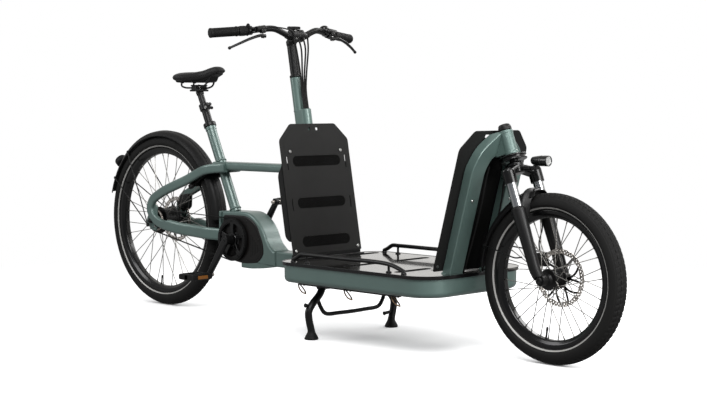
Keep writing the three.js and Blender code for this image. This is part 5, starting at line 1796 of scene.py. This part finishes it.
def deck():
    panel = prism(deck_plan(249.4, 0.6), PANEL_LOW, DECK_TOP, "z", 1.6)
    stations = [(x, side * 123) for x in (985, 1230, 1465) for side in (-1, 1)]
    slots = [across_deck(x, y, 81, 16, DECK_TOP - 5, DECK_TOP + 5) for x, y in stations]
    holes = [box(1590, 1630, side * 46 - 7, side * 46 + 7, 200, 300, 1) for side in (-1, 1)]
    make("deck_board", "frame", "deck", panel, stands_for="deck_panel", cuts=slots + holes)
    linings = []
    for x, y in stations:
        outer, inner = stadium(y, x, 80.6, 15.6)[::-1, ::-1], stadium(y, x, 77.5, 12.5)[::-1, ::-1]
        linings.append(band(outer, inner, DECK_TOP - 5, DECK_TOP + 0.5, "z"))
        linings.append(across_deck(x, y, 79, 14, DECK_TOP - 5.6, DECK_TOP - 4.2))
        linings += [
            box(x - 12, x + 12, y + k * 17 - 1.2, y + k * 17 + 1.2, DECK_TOP - 4.6, DECK_TOP - 1.4, 0.4)
            for k in range(-4, 5)
        ]
    make("deck_slot_linings", "frame", "plastic", *linings)
    edge = deck_plan(249.2, 0.8)
    rim = [(x, y, DECK_TOP - 5) for x, y in np.vstack([edge, edge[:1]])]
    lip = rounded(
        [
            (-1.2, -5.6, 1), (1.4, -5.6, 1), (1.4, 5.9, 1.2), (-3.2, 5.9, 0.5), (-3.2, 5.0, 0.4),
            (-1.2, 4.8, 0.3)
        ],
        3
    )
    make("deck_edge_trim", "frame", "gloss_black", swept(rim, lip, side=(0, 0, 1)))
    outer = prism(deck_plan(245, 4), TUB_LOW, TUB_TOP, "z", (17, 0.6), 9)
    hollow = prism(deck_plan(240, 9), TUB_LOW + 5, TUB_TOP + 20, "z", (14, 0.1), 4)
    way = box(900, 950, -46, 46, TUB_LOW + 6, TUB_TOP + 30, 1)
    make("deck_tub_shell", "frame", "paint", outer, stands_for="deck_tub", cuts=[hollow, way])
    drain = turned([(5, -1.4), (8, -1.4), (8.4, 0), (5, 0.6)], "z", 32, closed=True)
    make(
        "tub_drain_rings", "frame", "black_metal",
        *[shifted(drain, x, y, TUB_LOW) for x in (1180, 1400, 1600) for y in (-120, 120)]
    )
    beam = rounded(
        [
            (700.3, 206, 6), (1640, 206, 0), (1640, 250.5, 0), (926, 250.5, 0), (926, 262, 0),
            (700.3, 262, 8)
        ]
    )
    shaft = moved(rod((0, 0, -80), (0, 0, 40), 14), (BIKE.inverted() @ COLUMN))
    make(
        "chassis_beam_tube", "frame", "paint", prism(beam, -38, 38, "y", 5, 4), stands_for="chassis_beam",
        cuts=[box(846, 950, -60, 60, 150, 234, 1), shaft]
    )


def side_rail(name, side):
    """A raised tube along the deck on two feet and two posts."""
    y = side * 222
    low = DECK_TOP + 7
    path = [
        (998, y, low), (1016, y, low + 8), (1040, y, 290), (1070, y, 291), (1240, y, 291), (1420, y, 291),
        (1462, y, 287), (1496, y, low + 9), (1520, y, low)
    ]

    def standing(profile, radius, *stations):
        return [
            lathed((x, y, DECK_TOP), (x, y, DECK_TOP + 1), softened(profile, radius), 32)
            for x in stations
        ]

    feet = standing([(9, 0), (9, 3), (7, 6), (5, 8)], 1, 1000, 1518)
    posts = standing([(9.4, 0), (9.4, 2.4), (8.4, 4), (4.8, 5), (4, 8), (4, 26)], 0.8, 1068, 1452)
    make(
        f"{name}_rail_tube", "frame", "black_metal", pipe(path, 7, 5, 24), *feet, *posts,
        stands_for=f"{name}_side_rail"
    )
    screws = [bolt((x, y - side * 13, DECK_TOP), (0, 0, 1), 3, 1.8) for x in (1000, 1518)]
    make(f"{name}_rail_screws", "frame", "zinc", *screws)


def tie_downs(name, side):
    """A strip under the tub's edge with three pairs of hanging wire loops."""
    strip = box(1030, 1505, *span_y(side, 219, 231), TUB_LOW - 4.3, TUB_LOW - 0.3, 1.4)
    make(f"{name}_tie_down_strip", "frame", "black_metal", strip, stands_for=f"{name}_tie_down_loops")
    loops, screws = [], []
    for x in (1040, 1262, 1478):
        for lean in (-1, 1):
            path = [
                (x - 8, side * (225 + lean * 3), TUB_LOW - 3), (x + 6, side * (229 + lean * 8), 178),
                (x + 24, side * (233 + lean * 7), 166), (x + 34, side * 233, 161)
            ]
            loops.append(pipe(path, 2.4, 2, 12))
        screws.append(bolt((x + 18, side * 225, TUB_LOW - 4.2), (0, 0, -1), 4, 2.4))
    make(f"{name}_tie_down_wires", "frame", "bronze", *loops)
    make(f"{name}_tie_down_screws", "frame", "zinc", *screws)


# ---- front frame ----------------------------------------------------------------------------------
HEAD_LENGTH = 79
LEG = SimpleNamespace(x=18, y=65)
LOWER_AXLE = (25.3, -407.2)


def head_tube(to_board):
    """The head tube with a raised band at each end, in the front board's frame."""
    top = HEAD_LENGTH
    profile = [
        (15.2, 0.8), (21.4, 0.8), (22.6, 2), (22.6, 9), (21.6, 11), (21.6, top - 11), (22.6, top - 9),
        (22.6, top - 1.5), (21.4, top - 0.3), (15.2, top - 0.3), (15.2, 0.8)
    ]
    return moved(turned(softened(profile, 0.6), "z", 64), to_board)


def front_frame():
    """A bent box-section portal with a faceted gusset that runs up to the head tube."""
    foot = 0.5
    outer = [
        (-122, foot, 0), (-60, foot, 0), (-60, 350, 30), (-34, 396, 30), (34, 396, 30), (60, 350, 30),
        (60, foot, 0), (122, foot, 0), (122, 350, 20), (96, 412, 30), (46, 452, 30), (24, 470, 6),
        (-24, 470, 6), (-46, 452, 30), (-96, 412, 30), (-122, 350, 20)
    ]
    portal = prism(rounded(outer, 7), 0.3, 33, "x", 3, 4)
    gusset = [(0.3, 398, 4), (30, 388, 4), (66, 410, 6), (52, 468, 6), (0.3, 470, 4)]
    web = prism(rounded(gusset, 4), -20, 20, "y", 3, 4)
    to_board = FRONT_BOARD.inverted() @ FORK
    bore_and_ends = (-20, HEAD_LENGTH + 20, 15.1), (-60, 0.5, 60), (HEAD_LENGTH, HEAD_LENGTH + 60, 60)
    tools = [
        moved(rod((0, 0, low), (0, 0, high), radius, sides=48), to_board)
        for low, high, radius in bore_and_ends
    ]
    under_deck = box(1400, 1900, -200, 200, 150, DECK_TOP + 0.3, 0.1)
    tools.append(moved(under_deck, FRONT_BOARD.inverted() @ BIKE))
    make(
        "front_portal", "frame", "paint", portal, web, stands_for="front_frame", frame_of=FRONT_BOARD,
        cuts=tools
    )
    make("head_tube", "frame", "paint", head_tube(to_board), frame_of=FRONT_BOARD)
    inner = [
        (-59.4, 4, 0), (59.4, 4, 0), (59.4, 350, 30), (33.6, 395.4, 30), (-33.6, 395.4, 30),
        (-59.4, 350, 30)
    ]
    backing = prism(rounded(inner, 7), 0.4, 3, "x", 0.4)
    make("portal_backing", "frame", "pad", backing, frame_of=FRONT_BOARD)
    feet = [box(1, 36, side * 91 - 36, side * 91 + 36, 0.4, 5, 1.6) for side in (-1, 1)]
    make("portal_feet", "frame", "paint", *feet, frame_of=FRONT_BOARD)
    screws = [bolt((33, side * 91, 250), (1, 0, 0), 5, 3) for side in (-1, 1)]
    make("portal_screws", "frame", "zinc", *screws, frame_of=FRONT_BOARD)


def steering_cables():
    """The cable pair from the column, along the tub and up to the wheel under the head tube."""
    path = [
        (952, 44, 215), (1250, 46, 212), (1540, 46, 216), (1600, 46, 246), (1640, 48, 330),
        (1688, 48, 480), (1706, 44, 570), (1714, 41, 600)
    ]
    low, high = BIKE @ Vector((1640, 0, 330)), BIKE @ Vector((1708, 0, 585))
    make(
        "steering_cable_pair", ("frame", "fork", low, high), "rubber", both(pipe(path, 2.9, 5, 12)),
        stands_for="steering_cables"
    )


# ---- fork -----------------------------------------------------------------------------------------
def legs_turned(height, profile, sides):
    """A turned profile standing on each fork leg, with its zero at a height in the fork's frame."""
    return [
        lathed((LEG.x, side * LEG.y, height), (LEG.x, side * LEG.y, height + 1), profile, sides)
        for side in (-1, 1)
    ]


def leg_rods(low, high, radius, edge, sides):
    return [
        rod((LEG.x, side * LEG.y, low), (LEG.x, side * LEG.y, high), radius, edge=edge, sides=sides)
        for side in (-1, 1)
    ]


def fork_steerer():
    make(
        "fork_stanchions", "fork", "chrome", *leg_rods(-300, -54, 16, 1.5, 56), frame_of=FORK,
        stands_for="fork_crown_and_stanchions"
    )
    steerer = rod((0, 0, -43), (0, 0, HEAD_LENGTH + 18), 13.9, sides=40)
    cap_profile = [(14, 1), (20, 1), (21, 3), (21, 12), (19.5, 14), (19.5, 17), (16, 20.6), (0.1, 21)]
    cap = turned(softened([(r, HEAD_LENGTH + z) for r, z in cap_profile]), "z", 56)
    make("fork_steerer", "fork", "black_metal", steerer, cap, frame_of=FORK)
    make(
        "fork_top_cap_bolt", "fork", "zinc", bolt((0, 0, HEAD_LENGTH + 20.8), (0, 0, 1), 5.5, 2.2),
        frame_of=FORK
    )


def fork_crown():
    """A bowed crown bridge with a boss over each leg and a collar round the steerer."""
    arch = []
    turn = around(28)
    round_x = np.sign(np.cos(turn)) * np.abs(np.cos(turn)) ** 0.7
    round_z = np.sign(np.sin(turn)) * np.abs(np.sin(turn)) ** 0.7
    for t in np.linspace(-1, 1, 41):
        bow = abs(t) ** 1.7
        high, deep = 19 - 5 * (1 - bow), 17 + 5 * (1 - bow)
        size = 1 if abs(t) < 0.99 else 0.85
        x = LEG.x * bow + deep * size * round_x
        arch.append(np.c_[x, np.full(28, LEG.y * 1.02 * t), -43 - 25 * bow + high * size * round_z * 0.9])
    boss = [(21, 0), (21.6, 2), (21.6, 40), (20, 44), (15, 45.5), (13, 45.5), (12.5, 44), (0.1, 44)]
    bosses = legs_turned(-97, softened(boss, 1.2), 48)
    centre = turned(
        softened([(12, -63), (25, -62), (27, -58), (27, -30), (24, -25), (14, -24)], 1.5), "z", 48
    )
    make("fork_crown", "fork", "gloss_black", loft(arch), *bosses, centre, frame_of=FORK)
    cap = [(11.5, -1), (12, 1), (12, 3.4), (10.5, 4.4), (6, 4.4), (5.4, 2), (0.1, 2)]
    caps = [legs_turned(-53, cap, 32)[0], legs_turned(-53, cap, 6)[1]]
    make("fork_leg_caps", "fork", "gloss_black", *caps, frame_of=FORK)


def lamp_bracket():
    arm = pipe([(18, 0, -46), (40, 0, -58), (64, 0, -64)], 5.6, 5, 16)
    bridge = box(60, 67, -13, 13, -71, -57, 1.5)
    ears = [box(60, 82, y, y + 3.4, -71, -60, 1) for y in (-13, 9.6)]
    make("lamp_bracket", "fork", "black_metal", arm, bridge, *ears, frame_of=FORK)


def fork_cable_wheel():
    """The grooved wheel under the head tube that the steering cables turn."""
    profile = [
        (14.4, -20), (43, -20), (44, -19), (44, -17), (38, -15), (38, -9), (44, -7), (44, -5), (43, -4),
        (14.4, -4), (14.4, -20)
    ]
    ring = turned(softened(profile, 0.6, 2), "z", 96)
    make("fork_cable_wheel", "fork", "gloss_black", ring, frame_of=FORK, stands_for="fork_cable_pulley")
    clamps = [
        bolt((x, y, -4), (0, 0, 1), 4, 2.6)
        for x, y in ((-24, 22), (-24, -22), (30, 14), (30, -14))
    ]
    make("cable_wheel_clamps", "fork", "zinc", *clamps, frame_of=FORK)


def fork_brace():
    """An arch from leg to leg over the tyre."""
    path = []
    for t in np.linspace(-1, 1, 49):
        rise = 1 - abs(t) ** 3.6
        path.append((LEG.x + 8 + 16 * rise, 56 * t, -205 + 68 * rise))
    section = rectangle(17, 8, 6, 4)
    return swept(path, section, side=(1, 0, 0.35))


def fork_lower():
    """Cast lower legs, an arched brace over the tyre and thick dropouts."""
    legs = legs_turned(-190, softened([(22.3, 0), (22.5, 12), (21, 14.5), (16.6, 15)], 0.8), 48)
    for side in (-1, 1):
        y = side * LEG.y
        path = [
            (LEG.x, y, -178), (LEG.x, y, -240), (LEG.x, y, -330), (LEG.x, y - side * 0.4, -372),
            (LEG.x + 4, y - side * 3, -396)
        ]
        legs.append(pipe(path, 22.5, 8, 48, end_radius=17))
        legs.append(cross_rod(*LOWER_AXLE, *span_y(side, 43, 68), 17, edge=2.5, sides=48))
    hole = cross_rod(*LOWER_AXLE, -90, 90, 6.2, edge=0)
    head_room = cross_rod(*LOWER_AXLE, -100, -68, 12.5, edge=0)
    make(
        "fork_lower_legs", "fork_lowers", "black_metal", *legs, fork_brace(), frame_of=FORK,
        stands_for="fork_lowers", cuts=leg_rods(-345, -100, 16.3, 0, 48) + [hole, head_room]
    )


def fork_lower_fittings():
    """Dust seals, pinch bolts, and the axle with its head."""
    seal = [(16.25, -3), (20.4, -2), (20.8, 0), (19.2, 2.5), (17.6, 4.5), (16.25, 4.8), (16.25, -3)]
    seals = legs_turned(-176, softened(seal, 0.5), 48)
    make("fork_dust_seals", "fork_lowers", "rubber", *seals, frame_of=FORK)
    x, z = LOWER_AXLE
    pinch_bolts = [bolt((x - 9, side * 60, z - 14), (-0.35, 0, -1), 3.6, 3) for side in (-1, 1)]
    make("fork_pinch_bolts", "fork_lowers", "zinc", *pinch_bolts, frame_of=FORK)
    head = [(6, -1), (11, 0.4), (11.4, 2), (11.4, 5), (9, 7), (5.4, 7), (5, 4), (0.1, 4)]
    make(
        "front_axle_pin", "fork_lowers", "black_metal", cross_rod(x, z, -71, 72, 5.9),
        lathed((x, -68, z), (x, -69, z), softened(head, 0.6), 40), frame_of=FORK, stands_for="front_axle"
    )


def front_fender():
    place = at(FRONT_AXLE)
    make(
        "front_fender_shell", "fork_lowers", "plastic", fender(276, 37, 101, 176), frame_of=place,
        stands_for="front_fender"
    )
    ridge = [on_circle(282.4, angle, 0) for angle in np.linspace(100, 173, 70)]
    make(
        "front_fender_rib", "fork_lowers", "plastic", swept(ridge, FENDER_RIB, side=(0, 1, 0)),
        frame_of=place
    )
    wires, clips = [], []
    for side in (-1, 1):
        hold = np.array([-74, side * 90, 66.0])
        foot = on_circle(259, 160, side * 36.5)
        wires.append(pipe([foot, foot + (hold - foot) * 0.5, hold, (-50, side * 90, 70)], 2.3, 4, 12))
        clips.append(rod(foot + [0, -side * 2, 0], foot + [0, side * 2.5, 0], 6, edge=1))
    make("front_fender_stays", "fork_lowers", "black_metal", *wires, frame_of=place)
    make("front_fender_clips", "fork_lowers", "plastic", *clips, frame_of=place)


def headlamp():
    """A cylindrical lamp with cooling grooves, a bowl reflector with two emitters, and a clear lens."""
    place = at(in_mm(JOINTS["headlamp_tilt"]["pos_m"]))
    barrel = [
        (0.1, -15), (9, -14.5), (12, -11), (14, 2), (16, 18), (16.6, 21), (16.6, 25), (16, 26), (16, 31),
        (16.6, 32), (16.6, 49), (15.6, 50), (14.4, 50), (14.2, 47), (14, 40)
    ]
    bowl = [(14.1, 47.2), (12, 43), (8, 39), (4, 37.4), (0.1, 37)]
    glass = [(14.3, 46.4), (14.3, 48.2), (10, 49.2), (5, 49.6), (0.1, 49.7)]
    shell, reflector, lens = [
        lathed((0, 0, 19), (1, 0, 19), profile, 56)
        for profile in (softened(barrel, 0.8), bowl, glass)
    ]
    foot = cross_rod(0, 0, -9, 9, 6, edge=1)
    neck = box(-5, 5, -9, 9, 0, 10, 2)
    make(
        "headlamp_shell", "headlamp", "gloss_black", shell, foot, neck, frame_of=place,
        stands_for="headlamp"
    )
    make("headlamp_reflector", "headlamp", "reflector", reflector, frame_of=place)
    make("headlamp_lens", "headlamp", "lens", lens, frame_of=place)
    emitters = [rod((38, y, 19), (42, y, 19), 2.6, edge=0.6) for y in (-4.5, 4.5)]
    make("headlamp_emitters", "headlamp", "reflector", *emitters, frame_of=place)
    pivot = cross_rod(0, 0, -9.4, 9.4, 3, edge=0.4)
    make("headlamp_pivot_screw", "headlamp", "zinc", pivot, frame_of=place)


# ---- kickstand ------------------------------------------------------------------------------------
STAND = SimpleNamespace(x=1048, z=176, plane=1060)


def kickstand():
    """Two splayed legs with rubber feet, joined by a dropped bar, with a peg on each side."""
    x, z, plane = STAND.x, STAND.z, STAND.plane
    foot = [(0.1, 0.2), (22, 0.2), (24, 2), (24, 5), (20, 13), (14, 24), (12, 34), (11, 37), (9, 37.5)]
    legs, feet = [], []
    for side in (-1, 1):
        path = [
            (x, side * 128, z), (plane - 4, side * 152, 150), (plane, side * 190, 120),
            (plane, side * 207, 96), (plane, side * 206, 70), (plane, side * 196, 30),
            (plane, side * 195, 12)
        ]
        legs.append(pipe(path, 12.5, 5, 32))
        legs.append(rod((x, side * 112, z), (x, side * 150, z), 13, edge=2))
        feet.append(lathed((plane, side * 195, 0), (plane, side * 195, 1), softened(foot, 2), 40))
    bar = [
        (plane - 2, -166, 138), (plane, -150, 104), (plane, -130, 83), (plane, -60, 78), (plane, 60, 78),
        (plane, 130, 83), (plane, 150, 104), (plane - 2, 166, 138)
    ]
    pegs = [
        pipe([(plane, -200, 114), (plane - 2, -219, 118)], 5, 4, 20, end_radius=6.5),
        pipe([(plane, 196, 56), (plane - 4, 164, 52)], 5, 4, 20, end_radius=6.5)
    ]
    make(
        "kickstand_legs", "kickstand", "black_metal", *legs, pipe(bar, 7, 5, 24), *pegs,
        stands_for="kickstand"
    )
    make("kickstand_feet", "kickstand", "rubber", *feet)
    tips = [
        rod((plane - 2, -218, 118), (plane - 2.2, -222, 118.6), 7.5, edge=1.5),
        rod((plane - 4, 165, 52), (plane - 4.4, 161, 51.5), 7.5, edge=1.5)
    ]
    make("kickstand_peg_tips", "kickstand", "rubber", *tips)


def kickstand_mount():
    """The plate under the tub with two ears that hold the stand's pivot."""
    x, z = STAND.x, STAND.z
    plate = box(x - 40, x + 40, -111, 111, TUB_LOW - 5, TUB_LOW - 0.3, 1.4)
    ear = rounded([(x - 30, 189, 0), (x - 14, 164, 8), (x + 14, 164, 8), (x + 30, 189, 0)])
    ears = [prism(ear, low, low + 10, "y", 1.4) for low in (101, -111)]
    make(
        "kickstand_mount", "frame", "black_metal", plate, *ears, cross_rod(x, z, -111, 111, 7),
        stands_for="kickstand_bracket"
    )
    screws = [bolt((x + a, b, TUB_LOW - 5), (0, 0, -1), 5, 3.4) for a in (-28, 28) for b in (-70, 70)]
    make("kickstand_mount_screws", "frame", "zinc", *screws)


rear_board()
battery()
front_board()
deck()
for rail_name, rail_side in (("right", -1), ("left", 1)):
    side_rail(rail_name, rail_side)
    tie_downs(rail_name, rail_side)
front_frame()
steering_cables()
fork_steerer()
fork_crown()
lamp_bracket()
fork_cable_wheel()
fork_lower()
fork_lower_fittings()
front_fender()
headlamp()
kickstand()
kickstand_mount()


# ---- stage ----------------------------------------------------------------------------------------
CAMERA = (4629, -3499, 792)
CAMERA_YAW = 45.51
CAMERA_PITCH = -3.743
CAMERA_ROLL = -0.157
LENS = 73.5


def camera():
    data = bpy.data.cameras.new("camera")
    data.lens = LENS
    data.clip_end = 100
    item = bpy.data.objects.new("camera", data)
    bpy.context.scene.collection.objects.link(item)
    yaw, pitch = math.radians(CAMERA_YAW), math.radians(CAMERA_PITCH)
    view = Vector((-math.sin(yaw) * math.cos(pitch), math.cos(yaw) * math.cos(pitch), math.sin(pitch)))
    turn = view.to_track_quat("-Z", "Y").to_matrix() @ Matrix.Rotation(math.radians(CAMERA_ROLL), 3, "Z")
    item.matrix_world = Matrix.Translation(BIKE @ Vector(CAMERA)) @ turn.to_4x4()
    bpy.context.scene.camera = item


def softbox(name, place, target, size, power):
    data = bpy.data.lights.new(name, "AREA")
    data.shape = "RECTANGLE"
    data.size, data.size_y = size
    data.energy = power
    item = bpy.data.objects.new(name, data)
    bpy.context.scene.collection.objects.link(item)
    item.matrix_world = aim(place, target) @ Matrix.Rotation(math.pi, 4, "X")


def studio():
    """A white backdrop for the camera, dim air for shadows, and a bright and a dark side for reflections."""
    world = bpy.data.worlds.new("studio")
    bpy.context.scene.world = world
    world.use_nodes = True
    nodes, links = world.node_tree.nodes, world.node_tree.links

    def mix(factor, first, second):
        node = nodes.new("ShaderNodeMix")
        node.data_type = "RGBA"
        for socket, value in (("Factor", factor), (6, first), (7, second)):
            if isinstance(value, bpy.types.NodeSocket):
                links.new(value, node.inputs[socket])
            else:
                node.inputs[socket].default_value = value
        return node.outputs[2]

    ray = nodes.new("ShaderNodeLightPath")
    place = nodes.new("ShaderNodeTexCoord")
    parts = nodes.new("ShaderNodeSeparateXYZ")
    links.new(place.outputs["Generated"], parts.inputs[0])
    side = nodes.new("ShaderNodeMapRange")
    side.interpolation_type = "SMOOTHSTEP"
    links.new(parts.outputs["Y"], side.inputs["Value"])
    side.inputs["From Min"].default_value = -0.75
    side.inputs["From Max"].default_value = 0.15
    mirrored_room = mix(side.outputs[0], (0.22, 0.23, 0.24, 1), (0.74, 0.73, 0.71, 1))
    lit = mix(ray.outputs["Is Glossy Ray"], (0.33, 0.33, 0.34, 1), mirrored_room)
    seen = mix(ray.outputs["Is Camera Ray"], lit, (1, 1, 1, 1))
    links.new(seen, nodes["Background"].inputs["Color"])
    softbox("key", (2.6, -2.2, 3.6), (0.1, 0, 0.4), (2.6, 2.0), 175)
    softbox("fill", (-2.4, -3.2, 2.2), (-0.2, 0, 0.4), (1.6, 2.4), 60)
    softbox("front_light", (4.2, 0.2, 1.6), (0.4, 0, 0.5), (2.0, 1.8), 115)
    softbox("rim_light", (0.5, 3.4, 2.8), (0, 0, 0.5), (3.0, 1.4), 80)
    bpy.context.scene.view_settings.view_transform = "Standard"


def floor():
    """A plain pale floor that fades to white away from the bicycle, with a painted shadow under the bicycle,
    and that its underside sees darker.
    """
    mesh = bpy.data.meshes.new("floor")
    size = 40
    mesh.from_pydata(
        [(-size, -size, 0), (size, -size, 0), (size, size, 0), (-size, size, 0)], [], [(0, 1, 2, 3)]
    )
    item = bpy.data.objects.new("floor", mesh)
    bpy.context.scene.collection.objects.link(item)
    material = bpy.data.materials.new("studio_floor")
    material.use_nodes = True
    nodes, links = material.node_tree.nodes, material.node_tree.links
    nodes.remove(nodes["Principled BSDF"])

    def diffuse(grey):
        node = nodes.new("ShaderNodeBsdfDiffuse")
        node.inputs["Color"].default_value = (grey, grey, grey, 1)
        return node.outputs[0]

    def glow(strength):
        node = nodes.new("ShaderNodeEmission")
        node.inputs["Strength"].default_value = strength
        return node.outputs[0]

    def mix(factor, first, second):
        node = nodes.new("ShaderNodeMixShader")
        for i, socket in enumerate((factor, first, second)):
            links.new(socket, node.inputs[i])
        return node.outputs[0]

    near = nodes.new("ShaderNodeAddShader")
    links.new(diffuse(0.80), near.inputs[0])
    # Painted shadow: the floor's own glow takes the ambient occlusion as its colour, so it dims to a dark
    # patch under and beside the bicycle's parts.
    painted_shadow_occlusion = nodes.new("ShaderNodeAmbientOcclusion")
    painted_shadow_occlusion.inputs["Distance"].default_value = 0.3
    glow_with_painted_shadow = nodes.new("ShaderNodeEmission")
    links.new(painted_shadow_occlusion.outputs["Color"], glow_with_painted_shadow.inputs["Color"])
    glow_with_painted_shadow.inputs["Strength"].default_value = 0.66
    links.new(glow_with_painted_shadow.outputs[0], near.inputs[1])
    distance = nodes.new("ShaderNodeVectorMath")
    distance.operation = "LENGTH"
    links.new(nodes.new("ShaderNodeNewGeometry").outputs["Position"], distance.inputs[0])
    fade = nodes.new("ShaderNodeMapRange")
    fade.interpolation_type = "SMOOTHSTEP"
    links.new(distance.outputs["Value"], fade.inputs["Value"])
    fade.inputs["From Min"].default_value = 1.3
    fade.inputs["From Max"].default_value = 2.6
    seen = mix(fade.outputs[0], near.outputs[0], glow(1.0))
    ray = nodes.new("ShaderNodeLightPath")
    mirrored_floor = mix(ray.outputs["Is Glossy Ray"], diffuse(0.22), glow(0.36))
    links.new(
        mix(ray.outputs["Is Camera Ray"], mirrored_floor, seen),
        nodes["Material Output"].inputs["Surface"]
    )
    mesh.materials.append(material)


camera()
studio()
floor()
